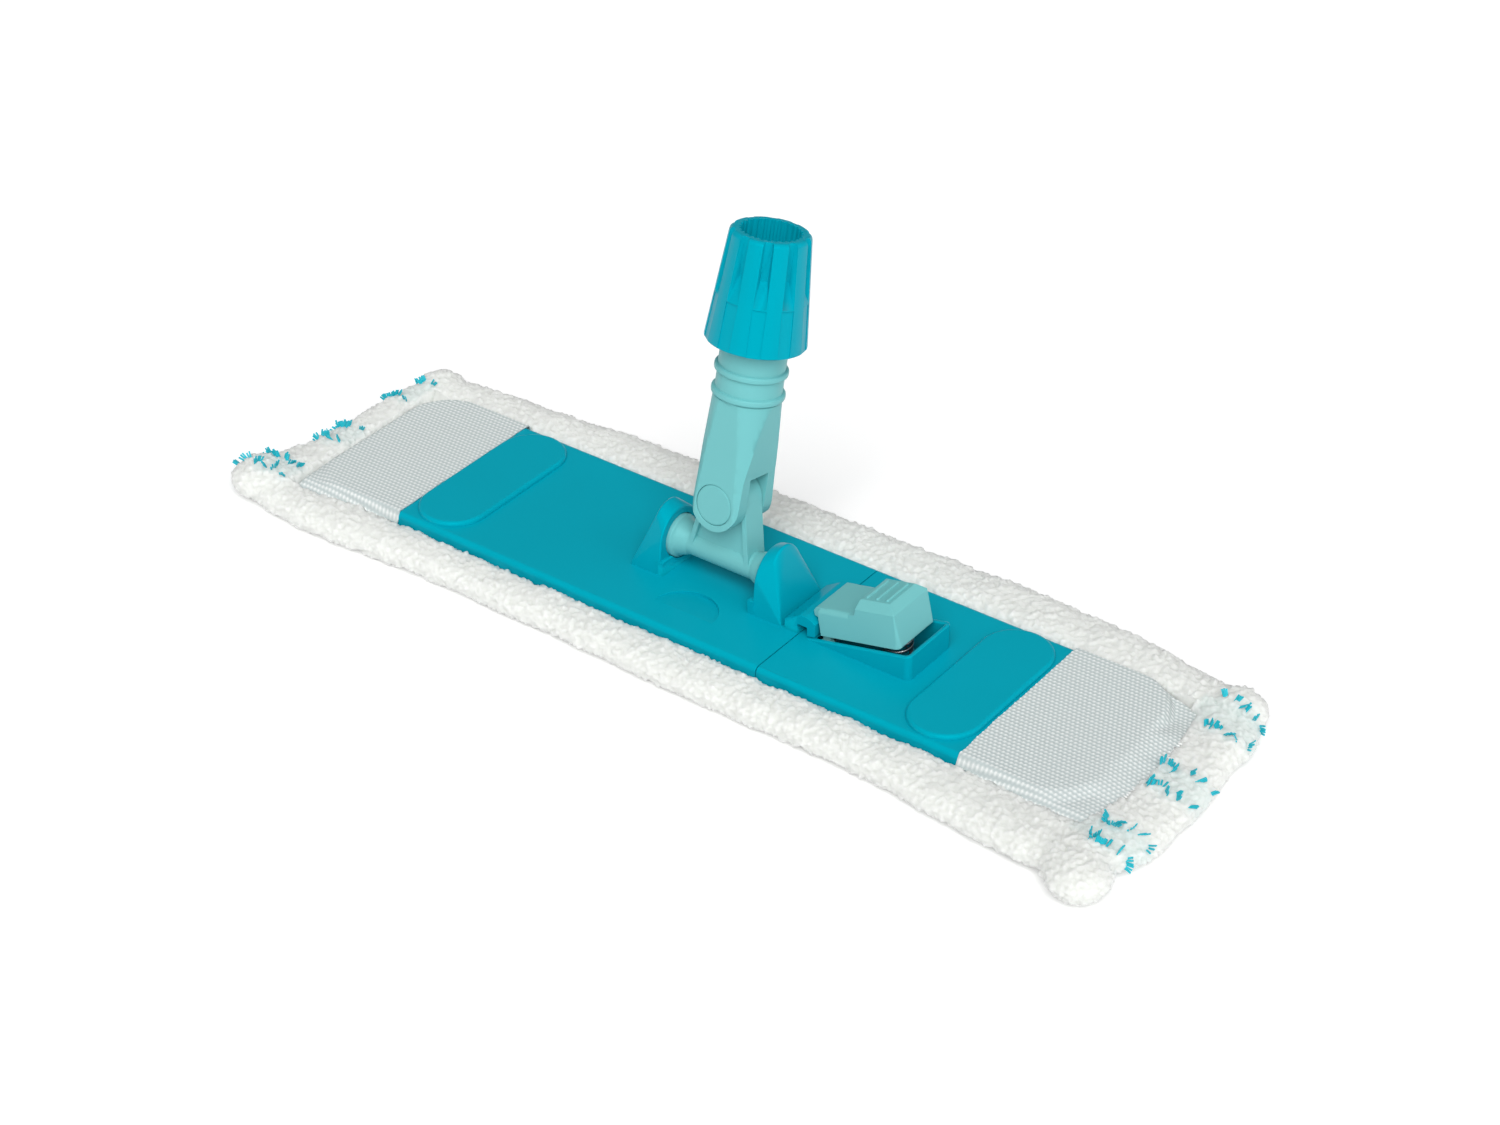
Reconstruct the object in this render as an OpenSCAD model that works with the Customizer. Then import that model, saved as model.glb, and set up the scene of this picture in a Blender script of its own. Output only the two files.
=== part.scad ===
// Flat mop head: a two-part hinged plate with a press pedal and catch, a universal
// joint that carries a pole socket with a fluted clamp nut, and a slip-on pile pad
// held by two mesh pockets. Millimetres, +X to the pedal end, +Y to the rear, +Z up,
// origin on the floor under the joint. The socket leans back as it stands.

/* [Plate] */
// Length of the whole plate
plate_l = 400; // [340:1:480]
// Width of the plate
plate_w = 90; // [80:1:120]
// Height of the plate's side walls
plate_h = 9; // [8:0.5:12]
// Thickness of the top skin
skin_t = 2.4; // [2:0.1:3]
// Thickness of the side walls
wall_t = 2.2; // [1.6:0.1:3]
// Thickness of the stiffening ribs underneath
rib_t = 1.6; // [1.2:0.1:2.4]
// Spacing of the cross ribs
rib_step = 38; // [28:1:60]
// Corner radius of the plate's ends
plate_r = 22; // [10:1:32]
// Radius of the long top edges
edge_r = 2.6; // [1:0.1:3.5]
// Distance of the fold line from the joint
split_x = 48.7; // [46:0.1:60]

/* [Raised end pads] */
// Distance of each raised pad's middle from the plate's end
stad_in = 70; // [60:1:76]
// Width of a raised pad along the plate
stad_w = 33; // [24:0.5:36]
// Length of a raised pad across the plate
stad_l = 85; // [60:0.5:88]
// Height of a raised pad
stad_h = 2.2; // [1:0.1:3]

/* [Lugs] */
// Inner face of each lug's hood from the joint's centre
lug_in = 24.5; // [20:0.5:28]
// Reach of the sill under the flange, inwards from the hood
sill_in = 2; // [1:0.1:3]
// Thickness of a lug at its foot
lug_foot = 15.5; // [13:0.5:20]
// Thickness of a lug at its crown
lug_crown = 6.5; // [5:0.5:12]
// Half width of a lug at its foot
lug_half = 15.2; // [14:0.1:18]
// Height of the lugs above the plate
lug_h = 28.8; // [26:0.2:34]
// Radius of a lug's crown
crown_disc = 9.4; // [7:0.1:11]
// Wall of a lug's hood round the flange
hood_t = 3.4; // [2.5:0.1:4.5]
// Height of the joint's axle above the plate
axle_h = 13; // [12:0.1:16]

/* [Yoke] */
// Radius of the axle bar
axle_r = 6.2; // [5:0.1:7.5]
// Radius of the seating flanges
flange_r = 9.8; // [9:0.1:12]
// Thickness of a seating flange inside its lug
flange_t = 3.4; // [2.5:0.1:5]
// Radius of the end stubs
stub_r = 5; // [4:0.1:6]
// Length of the end stubs
stub_l = 5; // [4:0.5:7]
// Distance from the axle to the knuckle pin
pin_h = 26.6; // [26:0.1:32]
// Radius of the knuckle boss
boss_r = 10.8; // [9:0.1:12]
// Thickness of the knuckle web
boss_t = 12.2; // [9:0.1:14.7]
// Half width of the web at the axle's centre
web_half = 16.2; // [12:0.1:16.4]
// Thickness of the web's side ribs
web_rib = 2.3; // [1.5:0.1:3]
// Depth of the panels between the ribs
panel_in = 2; // [1:0.1:3]

/* [Socket] */
// Backward lean of the standing socket
lean = 11.1; // [0:0.1:20]
// Sideways lean of the standing socket
side_lean = 1.3; // [-5:0.1:5]
// Radius of the pole bore
bore_r = 12.2; // [11:0.1:14.7]
// Wall of the neck round the bore
neck_t = 2.1; // [1.6:0.1:3]
// Height of the bore's floor above the knuckle pin
bore_floor = 21; // [20:0.5:26]
// Height of the ring beads above the neck
bead_d = 1.4; // [0.8:0.1:2]
// Height of the lower ring bead above the knuckle pin
bead_low = 49; // [46:0.5:52]
// Distance between the two ring beads
bead_step = 10.4; // [7:0.1:12]
// Half width of the fork arms
arm_half = 11.7; // [11:0.1:14]
// Thickness of a fork arm
arm_t = 7.55; // [6:0.05:8]
// Radius of the fork's flared corners at the pin
flare_r = 17; // [16:0.1:20]
// Roof of the fork's slot above the boss
slot_roof = 2.6; // [2:0.1:4]
// Radius of the knuckle pin
kpin_r = 4.5; // [3.5:0.1:5.5]
// Radius of the knuckle pin's flush head
khead_r = 8.9; // [7.5:0.1:9.5]
// Depth of the knuckle pin's flush head
khead_t = 3.4; // [2.5:0.1:4.5]
// Chamfer round the flush head's rim
head_cut = 0.5; // [0.2:0.1:1]

/* [Clamp nut] */
// Height of the nut's lower rim above the knuckle pin
nut_z = 71.7; // [68:0.1:76]
// Height of the nut
nut_h = 48.5; // [44:0.5:56]
// Wall of the nut at its lower rim
nut_t1 = 6.3; // [4:0.1:8]
// Wall of the nut at its top
nut_t2 = 3.75; // [3:0.05:5]
// Number of flutes
flutes = 10; // [8:1:14]
// Width of a flute at its floor
flute_w = 3.2; // [2:0.1:4]
// Draft of a flute's walls
flute_a = 15; // [5:1:25]
// Depth of a flute at the top
flute_d = 2; // [1:0.1:2.4]
// Length of a flute
flute_l = 28; // [22:0.5:34]
// Turn of the flutes as the nut stands
flute_turn = -3.5; // [-18:0.5:18]
// Width of the flat panels on the nut's skirt
panel_w = 6; // [4.5:0.1:7]
// Depth of the flat panels
panel_d = 0.6; // [0.3:0.05:0.8]
// Number of grip ribs in the nut's mouth
grip_n = 28; // [16:1:36]
// Depth of a grip rib
grip_d = 0.7; // [0.4:0.1:1]

/* [Pedal and catch] */
// Distance of the open box's near end from the fold line
box_in = 4.3; // [3.5:0.1:5]
// Distance of the open box's far end from the fold line
box_end = 56.3; // [52:0.1:62]
// Half width of the open box
box_half = 16; // [14:0.1:20]
// Height of the open box at its far end
box_h = 12; // [9:0.1:15]
// Thickness of the box's near wall
box_web = 4.6; // [3:0.1:5]
// Thickness of the box's floor
floor_t = 1.4; // [1:0.1:2]
// Distance of the pedal's pivot from the fold line
pivot_in = 12.8; // [11:0.1:15]
// Depth of the pedal's pivot below the plate's top
pivot_d = 2.5; // [2:0.1:4]
// Radius of the pedal's pivot pin
ppin_r = 1.8; // [1.2:0.1:2.4]
// Rest angle of the pedal
pedal_a = 13; // [8:0.5:16]
// Gap between the pedal's far end and the box
pedal_far = 2.1; // [1.6:0.1:4]
// Length of the pedal's lower step past its pivot
step_l = 18; // [14:0.5:22]
// Height of the pedal's lower step above its pivot
step_h = 17.7; // [15:0.1:20]
// Height of the pedal's press block above its pivot
block_h = 24.3; // [21:0.1:26]
// Height of the pedal's skirt edge above its pivot
skirt_h = 5.4; // [4:0.1:8]
// Inward slope of the pedal's sides below its crown
pedal_in = 0.7; // [0.2:0.1:2]
// Backward slope of the pedal's far end below its crown
pedal_rake = 0.7; // [0.2:0.1:2]
// Height of the slanted crown round the press block's top
crown_h = 3.5; // [2.5:0.1:5]
// Inward slope of the crown's sides and far end
crown_in = 3.4; // [2:0.1:5]
// Rounding of the lower step's long edges
step_r = 2.4; // [1:0.1:3]
// Thickness of the pedal's walls
pedal_t = 1.9; // [1.4:0.1:2.6]
// Number of grip ribs on the press block
pedal_ribs = 3; // [2:1:4]
// Spacing of the grip ribs
rib_pitch = 5; // [3.5:0.1:5.2]
// Half width of the catch's keeper
keep_half = 15; // [12:0.1:20]
// Distance of the keeper's back from the fold line
keep_back = 7; // [5:0.1:8]
// Reach of the keeper's hook over the fold line
keep_out = 8.5; // [7:0.1:10]
// Height of the keeper above the plate
keep_h = 10.3; // [9:0.1:12]
// Height of the keeper's slot
slot_h = 5; // [4:0.1:6]
// Angle of the pedal's lip round the fold hinge
lip_a = 20.5; // [16:0.5:24]
// Distance of the return spring from the pedal's pivot
seat_u = 27.5; // [24:0.5:28]
// Radius of the return spring's coil
spring_r = 6; // [4:0.1:6.5]
// Radius of the spring's wire
wire_r = 0.65; // [0.4:0.05:0.8]
// Turns of the spring
spring_n = 7; // [4:1:8]

/* [Fold hinge] */
// Radius of the hinge knuckles
knuck_r = 3; // [2.5:0.1:3.2]
// Radius of the hinge pin
hpin_r = 1.5; // [1:0.1:1.8]
// Length of one hinge knuckle
knuck_l = 8; // [6:0.5:10]

/* [Pad] */
// Reach of the pile pad past each end of the plate
pad_end = 28; // [22:0.5:40]
// Reach of the pile pad past each long side of the plate
pad_side = 23; // [18:0.5:34]
// Pile under the plate
pile_h = 5.1; // [4:0.1:8]
// Height of the pile rolls round the edge
roll_h = 13; // [10:0.5:16]
// Radius of the corner lobes
lobe_r = 12; // [10:0.5:16]
// Height of the corner lobes
lobe_h = 18; // [14:0.5:20]
// Reach of a lobe past the pad's end
lobe_end = 3.5; // [1:0.5:5]
// Reach of a lobe past the pad's long side
lobe_side = 6; // [2:0.5:7]
// Thickness of the backing cloth
back_t = 0.7; // [0.5:0.1:1.2]
// Thickness of the mesh pockets
mesh_t = 1; // [0.6:0.1:1.4]
// Reach of the left pocket over the plate's end
reach_l = 53; // [30:0.5:53]
// Reach of the right pocket over the plate's end
reach_r = 52; // [30:0.5:53]
// Reach of the left pocket past the plate's end
past_l = 5.1; // [4:0.1:8]
// Reach of the right pocket past the plate's end, on to the pad's roll
past_r = 14; // [4:0.5:14]
// Drop of the left pocket's end below the plate's top
drop_l = 5.5; // [3:0.5:7]
// Drop of the right pocket's end below the plate's top
drop_r = 2.2; // [2:0.1:7]
// Spacing of the paired scrub rows
row_pitch = 44; // [30:0.5:46]
// Distance between the two rows of a pair
row_gap = 10.5; // [8:0.5:14]
// Length of a scrub strip along the pad, up to the pad's end
strip_in = 12.5; // [9:0.5:14]
// Offset of the rows to the front
row_shift = 4; // [0:0.5:6]
// Tufts along one scrub row
tufts = 7; // [4:1:8]
// Strands in one scrub tuft
tuft_n = 5; // [3:1:6]
// Length of a scrub strand outside its strip
strand_l = 4; // [2:0.5:6]

/* [Clearances] */
// Gap between faces that move past each other
run_gap = 0.35; // [0.2:0.05:0.6]
// Radial gap of a pin in its bore
pin_gap = 0.08; // [0.05:0.01:0.15]
// Gap between the two halves at the fold line
fold_gap = 0.5; // [0.3:0.1:0.8]
// Gap between pieces that lie against each other
rest_gap = 0.12; // [0.05:0.01:0.3]
// Gap between the pedal's sides and its box
pedal_gap = 0.5; // [0.3:0.05:1]
// Gap between the pedal's lip and the keeper's crown
catch_gap = 0.6; // [0.4:0.1:1.5]
// Gap between the keeper's hook and the plate below it
hook_gap = 0.65; // [0.4:0.05:1]

/* [Hidden] */
$fn = 64;

c_teal = "#00a0b4";
c_light = "#79c7ca";
c_pile = "#e4e6e1";
c_mesh = "#cdd4d3";
c_steel = "#b8bcbf";

plate_z = pile_h + back_t + 2 * rest_gap;
top_z = plate_z + plate_h;
skin_z = top_z - skin_t;
axle_z = top_z + axle_h;
hinge_z = plate_z + knuck_r + 0.2;
half_l = plate_l / 2;
half_w = plate_w / 2;
// how deep a raised form is set into what carries it
root = 0.5;
big = 1000;
eps = 0.01;

// Frames of the leaning joint
module at_yoke() translate([0, 0, axle_z]) rotate([-lean, 0, 0]) children();
module at_socket() at_yoke() translate([0, 0, pin_h]) rotate([0, side_lean, 0]) children();

// One end of the part: s is -1 on the left, 1 on the right
module at_end(s) mirror([s < 0 ? 1 : 0, 0, 0]) children();

// Extrusions of an upright outline, across the plate and along it
module across(d) rotate([90, 0, 0]) linear_extrude(d, center = true) children();
module along(x, l) translate([x, 0, 0]) rotate([90, 0, 90]) linear_extrude(l) children();

// Rounds the corners of an outline: radius r, n steps to a corner
function unit(v) = v / norm(v);
function corner(a, p, b, r, n) =
    let (u = unit(a - p), v = unit(b - p), h = acos(u * v) / 2, m = unit(u + v),
         c = p + m * r / sin(h), s = p + u * r / tan(h), e = p + v * r / tan(h),
         a0 = atan2(s[1] - c[1], s[0] - c[0]), a1 = atan2(e[1] - c[1], e[0] - c[0]),
         d = a1 - a0 > 180 ? a1 - a0 - 360 : a1 - a0 < -180 ? a1 - a0 + 360 : a1 - a0)
    [for (i = [0:n]) c + r * [cos(a0 + d * i / n), sin(a0 + d * i / n)]];
function rounded(p, r, n = 4) = let (k = len(p))
    [for (i = [0:k - 1]) each r[i] > 0 ? corner(p[(i + k - 1) % k], p[i], p[(i + 1) % k], r[i], n)
                                        : [p[i]]];

// Plan of one plate half from the fold line to a round-cornered end, grown by d
module half_plan(x0, x1, d = 0) {
    r = max(plate_r + d, 1);
    s = sign(x1 - x0);
    e = x1 + s * d;
    w = half_w + d;
    translate([min(x0, e - s * r), -w]) square([abs(e - s * r - x0), 2 * w]);
    translate([min(e, e - s * r), -w + r]) square([r, 2 * (w - r)]);
    for (k = [-1, 1]) translate([e - s * r, k * (w - r)]) circle(r);
}

// Cross-section of the plate with rounded long edges
module plate_section() {
    translate([-half_w, plate_z]) square([plate_w, plate_h - edge_r]);
    translate([-half_w + edge_r, plate_z]) square([plate_w - 2 * edge_r, plate_h]);
    for (k = [-1, 1]) translate([k * (half_w - edge_r), top_z - edge_r]) circle(edge_r);
}

// One plate half as an open-bottomed tray with cross ribs and two long ribs
leaf_l = 2 * knuck_r + 2;
module tray(x0, x1) {
    s = sign(x1 - x0);
    back = x0 + s * leaf_l;
    n = floor(abs(x1 - back) / rib_step);
    difference() {
        intersection() {
            along(min(x0, x1), abs(x1 - x0)) plate_section();
            translate([0, 0, plate_z - 1]) linear_extrude(plate_h + 2) half_plan(x0, x1);
        }
        difference() {
            translate([0, 0, plate_z - 1]) linear_extrude(skin_z - plate_z + 1)
                half_plan(x0 - s * 5, x1, -wall_t);
            for (i = [0:n])
                translate([back + s * i * (abs(x1 - back) / (n + 1)) - rib_t / 2, -half_w, plate_z])
                    cube([rib_t, plate_w, plate_h]);
            for (k = [-1, 1]) translate([min(back, x1), k * half_w / 3 - rib_t / 2, plate_z])
                cube([abs(x1 - back), rib_t, plate_h]);
        }
    }
}

// Raised pad with a rounded rim and round ends
module stadium(x) {
    r = stad_w / 2;
    e = stad_h * 0.8;
    module side() {
        square([r, stad_h - e + root]);
        square([r - e, stad_h + root]);
        translate([r - e, stad_h + root - e]) circle(e);
    }
    translate([x, 0, top_z - root]) {
        for (k = [0, 180]) rotate([0, 0, k]) translate([0, stad_l / 2 - r, 0])
            rotate_extrude(angle = 180) intersection() {
                side();
                square(big);
            }
        intersection() {
            across(stad_l - stad_w) {
                side();
                mirror([1, 0]) side();
            }
            translate([-big / 2, -big / 2, 0]) cube(big);
        }
    }
}

// Knuckles of the fold hinge: k is -1 for the main plate, 1 for the fold plate
knuck_gap = 0.4;
knuck_y = half_w - wall_t - 1 - knuck_l / 2;
function knuck_at(k) = knuck_y - (k > 0 ? knuck_l + knuck_gap : 0);
module knuckles(k) for (s = [-1, 1]) translate([split_x, s * knuck_at(k), hinge_z]) difference() {
    union() {
        rotate([90, 0, 0]) cylinder(r = knuck_r, h = knuck_l, center = true);
        translate([k > 0 ? fold_gap / 2 : -fold_gap / 2 - leaf_l, -knuck_l / 2, 0])
            cube([leaf_l, knuck_l, skin_z - hinge_z + eps]);
    }
    rotate([90, 0, 0]) cylinder(r = hpin_r + pin_gap, h = knuck_l + 2, center = true);
}

// Slanting relief under the fold line, so the halves swing down freely
module fold_relief(k) {
    d = hinge_z - plate_z + 1;
    across(plate_w + 2) translate([split_x, 0])
        polygon([[-k * d, hinge_z], [k * fold_gap / 2, hinge_z], [k * (fold_gap / 2 + d), plate_z - 1],
                 [-k * d, plate_z - 1]]);
}

// One hooded lug on the +X side, before boring: a foot, a round hood rim and a smaller crown
rim_r = flange_r + run_gap + hood_t;
module lug_body() {
    hull() {
        translate([lug_in, 0, axle_z]) rotate([0, 90, 0]) cylinder(r = rim_r, h = 0.8, $fn = 32);
        translate([lug_in, -lug_half, top_z - root]) cube([lug_foot, 2 * lug_half, root + 0.1]);
        translate([lug_in + lug_crown - 1, 0, top_z + lug_h - crown_disc]) rotate([0, 90, 0])
            cylinder(r = crown_disc, h = 1, $fn = 32);
    }
    // sill under the flange
    translate([lug_in - sill_in, -lug_half, top_z - root])
        cube([sill_in + 1, 2 * lug_half, axle_h / 2 + root]);
}
module lugs() difference() {
    for (s = [-1, 1]) at_end(s) lug_body();
    translate([0, 0, axle_z]) rotate([0, 90, 0]) {
        cylinder(r = flange_r + run_gap, h = 2 * (lug_in + flange_t + run_gap), center = true);
        cylinder(r = stub_r + pin_gap, h = 2 * (lug_in + flange_t + stub_l + run_gap), center = true);
    }
}

// Shallow half-moon recess, flush along its front chord
moon_r = 15.2;
moon_d = 1.5;
moon_y = -half_w + 14.5;
module moon() intersection() {
    translate([0, moon_y, top_z - 5]) cylinder(r = moon_r, h = 10);
    along(-moon_r - 1, 2 * moon_r + 2)
        polygon([[moon_y, top_z], [moon_y + moon_r, top_z - moon_d], [moon_y + moon_r, top_z + 3],
                 [moon_y, top_z + 3]]);
}

// Keeper of the catch: a hook from the main plate over the fold line, its end
// crowned about the fold hinge so the pedal's lip can ride over it
crown_r = top_z - hinge_z + keep_h;
hook_in = box_in + 0.2;
stem = 0.5;
function rail_z(x) = top_z + (x - box_in) * box_h / (box_end - box_in);
module keeper() difference() {
    across(2 * keep_half) intersection() {
        translate([split_x, 0]) polygon(rounded([
            [-keep_back, top_z - root], [-keep_back, top_z + keep_h / 2], [stem, top_z + keep_h - 0.5],
            [keep_out, top_z + keep_h], [keep_out, rail_z(keep_out) + hook_gap],
            [hook_in, rail_z(hook_in) + hook_gap], [hook_in, top_z + slot_h], [-stem, top_z + slot_h],
            [-stem, top_z - root]], [0, 0.8, 3, 0, 0.4, 0.4, 0.5, 0.8, 0]));
        union() {
            translate([split_x, hinge_z]) circle(crown_r);
            translate([split_x - 2 * keep_back, top_z - root]) square([2 * keep_back + stem, 2 * keep_h]);
        }
    }
    // chamfers along the two upper side edges
    for (k = [-1, 1]) translate([split_x - keep_back, k * (keep_half + 1.2), top_z + keep_h])
        rotate([45, 0, 0]) cube([40, 2.4, 2.4], center = true);
}

module main_plate() color(c_teal) {
    difference() {
        union() {
            tray(split_x - fold_gap / 2, -half_l);
            stadium(-half_l + stad_in);
            lugs();
            keeper();
        }
        moon();
        fold_relief(-1);
    }
    knuckles(-1);
}

// Open box for the pedal on the fold plate, rising away from the fold line
box_x0 = split_x + box_in;
box_x1 = split_x + box_end;
box_floor = plate_z + floor_t;
pivot_x = split_x + pivot_in;
pivot_z = top_z - pivot_d;
seat_x = pivot_x + seat_u;
function box_plan(x0, x1, w, r) = rounded([[x0, -w], [x1, -w], [x1, w], [x0, w]], [0, r, r, 0], 6);
module box_outer() intersection() {
    across(2 * box_half) polygon([[box_x0, plate_z], [box_x0, rail_z(box_in)],
        [box_x1, rail_z(box_end)], [box_x1, plate_z]]);
    translate([0, 0, plate_z - 1]) linear_extrude(plate_h + box_h + 2)
        polygon(box_plan(box_x0, box_x1, box_half, 3));
}
module box_inner() translate([0, 0, box_floor]) linear_extrude(plate_h + box_h)
    polygon(box_plan(box_x0 + box_web, box_x1 - wall_t, box_half - wall_t, 1.2));

ppin_half = box_half - wall_t / 2;
module fold_plate() color(c_teal) {
    difference() {
        union() {
            tray(split_x + fold_gap / 2, half_l);
            stadium(half_l - stad_in);
            box_outer();
        }
        box_inner();
        fold_relief(1);
        translate([pivot_x, 0, pivot_z]) rotate([90, 0, 0])
            cylinder(r = ppin_r + pin_gap, h = 2 * ppin_half, center = true);
    }
    knuckles(1);
    // post inside the return spring
    translate([seat_x, 0, box_floor - root / 2]) cylinder(r = spring_r - wire_r - 0.8, h = 7);
}

module hinge_pin() color(c_steel) translate([split_x, 0, hinge_z]) rotate([90, 0, 0])
    cylinder(r = hpin_r, h = 2 * (half_w - wall_t - 0.6), center = true);

// Axle bar with cone-shouldered flanges, and the tapering web up to the knuckle boss
module web_plan(d) polygon([[-boss_r + d, pin_h], [boss_r - d, pin_h],
                            [web_half - d, 0], [-web_half + d, 0]]);
module yoke() color(c_light) at_yoke() {
    f = lug_in - sill_in;
    seat = lug_in + flange_t;
    rotate([0, 90, 0]) rotate_extrude() for (k = [0, 1]) mirror([0, k])
        polygon([[0, 0], [axle_r, 0], [axle_r, f - 6], [axle_r + 0.9, f - 4.2], [flange_r - 1.4, f - 0.6],
            [flange_r, f + 0.4], [flange_r, seat], [stub_r, seat], [stub_r, seat + stub_l],
            [0, seat + stub_l]]);
    difference() {
        across(boss_t) {
            web_plan(0);
            translate([0, pin_h]) circle(boss_r);
        }
        translate([0, 0, pin_h]) rotate([90, 0, 0]) cylinder(r = kpin_r + pin_gap, h = big, center = true);
        // panels let into both faces between the side ribs
        for (k = [-1, 1]) translate([0, k * boss_t / 2, 0]) across(2 * panel_in) difference() {
            web_plan(web_rib);
            translate([0, pin_h]) circle(khead_r);
        }
    }
}

// Fork, neck and pole bore in the socket's own frame
neck_r = bore_r + neck_t;
slot_half = boss_t / 2 + run_gap;
slot_top = boss_r + run_gap + slot_roof;
fork_half = slot_half + arm_t;
// the flared corners leave a rim round the pin's head
head_rim = 0.4;
flare = max(flare_r, norm([fork_half, khead_r + pin_gap + head_rim]));
shoulder = bead_low - 2;
shoulder_r = neck_r + 0.3;
sleeve_top = nut_z + 8.6;
module bead(z) translate([0, 0, z]) rotate_extrude() translate([neck_r - root, 0])
    polygon(rounded([[0, -1.7], [bead_d + root, -1.2], [bead_d + root, 1.2], [0, 1.7]],
        [0, 0.9, 0.9, 0], 3));
module socket_sleeve() color(c_light) at_socket() difference() {
    union() {
        // fork: a flared round body cut by flats that run out towards the neck
        intersection() {
            union() {
                cylinder(r1 = flare, r2 = shoulder_r, h = shoulder);
                translate([0, 0, -arm_half - 1]) cylinder(r = flare, h = arm_half + 1);
            }
            across(2 * fork_half) {
                circle(arm_half);
                polygon([[-arm_half, 0], [arm_half, 0], [arm_half, slot_top], [shoulder_r, shoulder],
                         [-shoulder_r, shoulder], [-arm_half, slot_top]]);
            }
        }
        translate([0, 0, shoulder - root]) cylinder(r = neck_r, h = sleeve_top - shoulder + root);
        for (i = [0, 1]) bead(bead_low + i * bead_step);
    }
    translate([0, 0, bore_floor]) cylinder(r = bore_r, h = big);
    // slot between the arms
    across(2 * slot_half) translate([-big / 2, -big + slot_top]) square([big, big]);
    rotate([90, 0, 0]) cylinder(r = kpin_r + pin_gap, h = big, center = true);
    for (k = [0, 180]) rotate([90, 0, k]) translate([0, 0, fork_half - khead_t])
        cylinder(r = khead_r + pin_gap, h = 10);
}

// Knuckle pin with a flush head, and the cap on its other end
cap_in = khead_t / 2;
head_rise = khead_t - rest_gap - head_cut;
module pin_head() translate([0, 0, fork_half - khead_t + rest_gap]) {
    cylinder(r = khead_r, h = head_rise);
    translate([0, 0, head_rise]) cylinder(r1 = khead_r, r2 = khead_r - head_cut, h = head_cut);
}
module knuckle_pin() color(c_light) at_socket() rotate([90, 0, 0]) {
    pin_head();
    translate([0, 0, -fork_half + cap_in]) cylinder(r = kpin_r, h = 2 * fork_half - cap_in - khead_t + root);
}
module knuckle_cap() color(c_light) at_socket() rotate([-90, 0, 0]) difference() {
    pin_head();
    cylinder(r = kpin_r + pin_gap, h = fork_half - cap_in + rest_gap);
}

// Split clamping ring above the sleeve, and the nut that draws it down
mouth_rad = bore_r + 0.35;
cone_z0 = sleeve_top + 3;
cone_z1 = sleeve_top + 13.5;
cone_r0 = neck_r + 1.1;
cone_r1 = mouth_rad + grip_d + 0.2;
nut_r1 = cone_r0 + nut_t1;
nut_r2 = mouth_rad + grip_d + nut_t2;
module collet() color(c_light) at_socket() difference() {
    ring_r = bore_r + 0.2;
    rotate_extrude() polygon([[ring_r, sleeve_top + run_gap], [cone_r0 - run_gap, sleeve_top + run_gap],
        [cone_r0 - run_gap, cone_z0], [cone_r1 + 0.5, cone_z1 - 3], [ring_r, cone_z1 - 3]]);
    for (a = [0:120:240]) rotate([0, 0, a + 20]) translate([0, -0.8, cone_z0]) cube([big, 1.6, big]);
}
flute_floor = nut_r2 - flute_d;
function flute_half(r) = flute_w / 2 + (r - flute_floor) * tan(flute_a);
function nut_rad(z) = nut_r1 + (nut_r2 - nut_r1) * z / nut_h;
nut_taper = atan((nut_r1 - nut_r2) / nut_h);
module at_nut() at_socket() translate([0, 0, nut_z]) rotate([0, 0, flute_turn]) children();
module clamp_nut() color(c_teal) at_nut() difference() {
    z0 = cone_z0 - nut_z;
    z1 = cone_z1 - nut_z;
    foot = nut_h - flute_l;
    reach = nut_r1 + 6;
    rotate_extrude() polygon(rounded([[0, 0], [nut_r1, 0], [nut_r2, nut_h], [0, nut_h]], [0, 0.7, 2.2, 0]));
    rotate_extrude() polygon([[0, -1], [cone_r0, -1], [cone_r0, z0], [cone_r1, z1], [0, z1]]);
    // ribbed mouth
    translate([0, 0, z1 - root]) linear_extrude(nut_h)
        polygon([for (i = [0:grip_n - 1], p = [[0, 0], [0.42, 0], [0.52, 1], [0.9, 1]])
            let (a = (i + p[0]) * 360 / grip_n) (mouth_rad + grip_d * p[1]) * [cos(a), sin(a)]]);
    for (i = [0:flutes - 1]) rotate([0, 0, (i + 0.5) * 360 / flutes]) {
        // flute with drafted walls and a ramp at its foot
        intersection() {
            across(nut_r1) polygon([[flute_floor, nut_h + 1], [flute_floor, nut_h - flute_l * 0.6],
                [nut_rad(foot), foot], [reach, foot], [reach, nut_h + 1]]);
            translate([0, 0, foot - 1]) linear_extrude(nut_h)
                polygon([for (p = [[-1, -1], [-1, 1], [1, 1], [1, -1]])
                    let (r = p[0] < 0 ? flute_floor - 1 : reach + 1) [r, p[1] * flute_half(r)]]);
        }
        // flat panel on the skirt below it
        translate([nut_r1 - panel_d, 0, 0]) rotate([0, -nut_taper, 0]) translate([0, -panel_w / 2, -1])
            cube([10, panel_w, foot + 1]);
    }
}

// Pedal in its own frame: u along the plate, w up, turned by the rest angle
module at_pedal() translate([pivot_x, 0, pivot_z]) rotate([0, -pedal_a, 0]) children();
function in_pedal(p) = let (d = p - [pivot_x, pivot_z])
    [d[0] * cos(pedal_a) + d[1] * sin(pedal_a), d[1] * cos(pedal_a) - d[0] * sin(pedal_a)];
pedal_u0 = -1.2;
pedal_u1 = box_end - wall_t - pivot_in - pedal_far;
pedal_half = box_half - wall_t - pedal_gap;
lip = in_pedal([split_x, hinge_z] + (crown_r + catch_gap) * [sin(lip_a), cos(lip_a)]);
// d shrinks the shape evenly to its inner form, which is open below
crown_z = block_h - crown_h;
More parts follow.
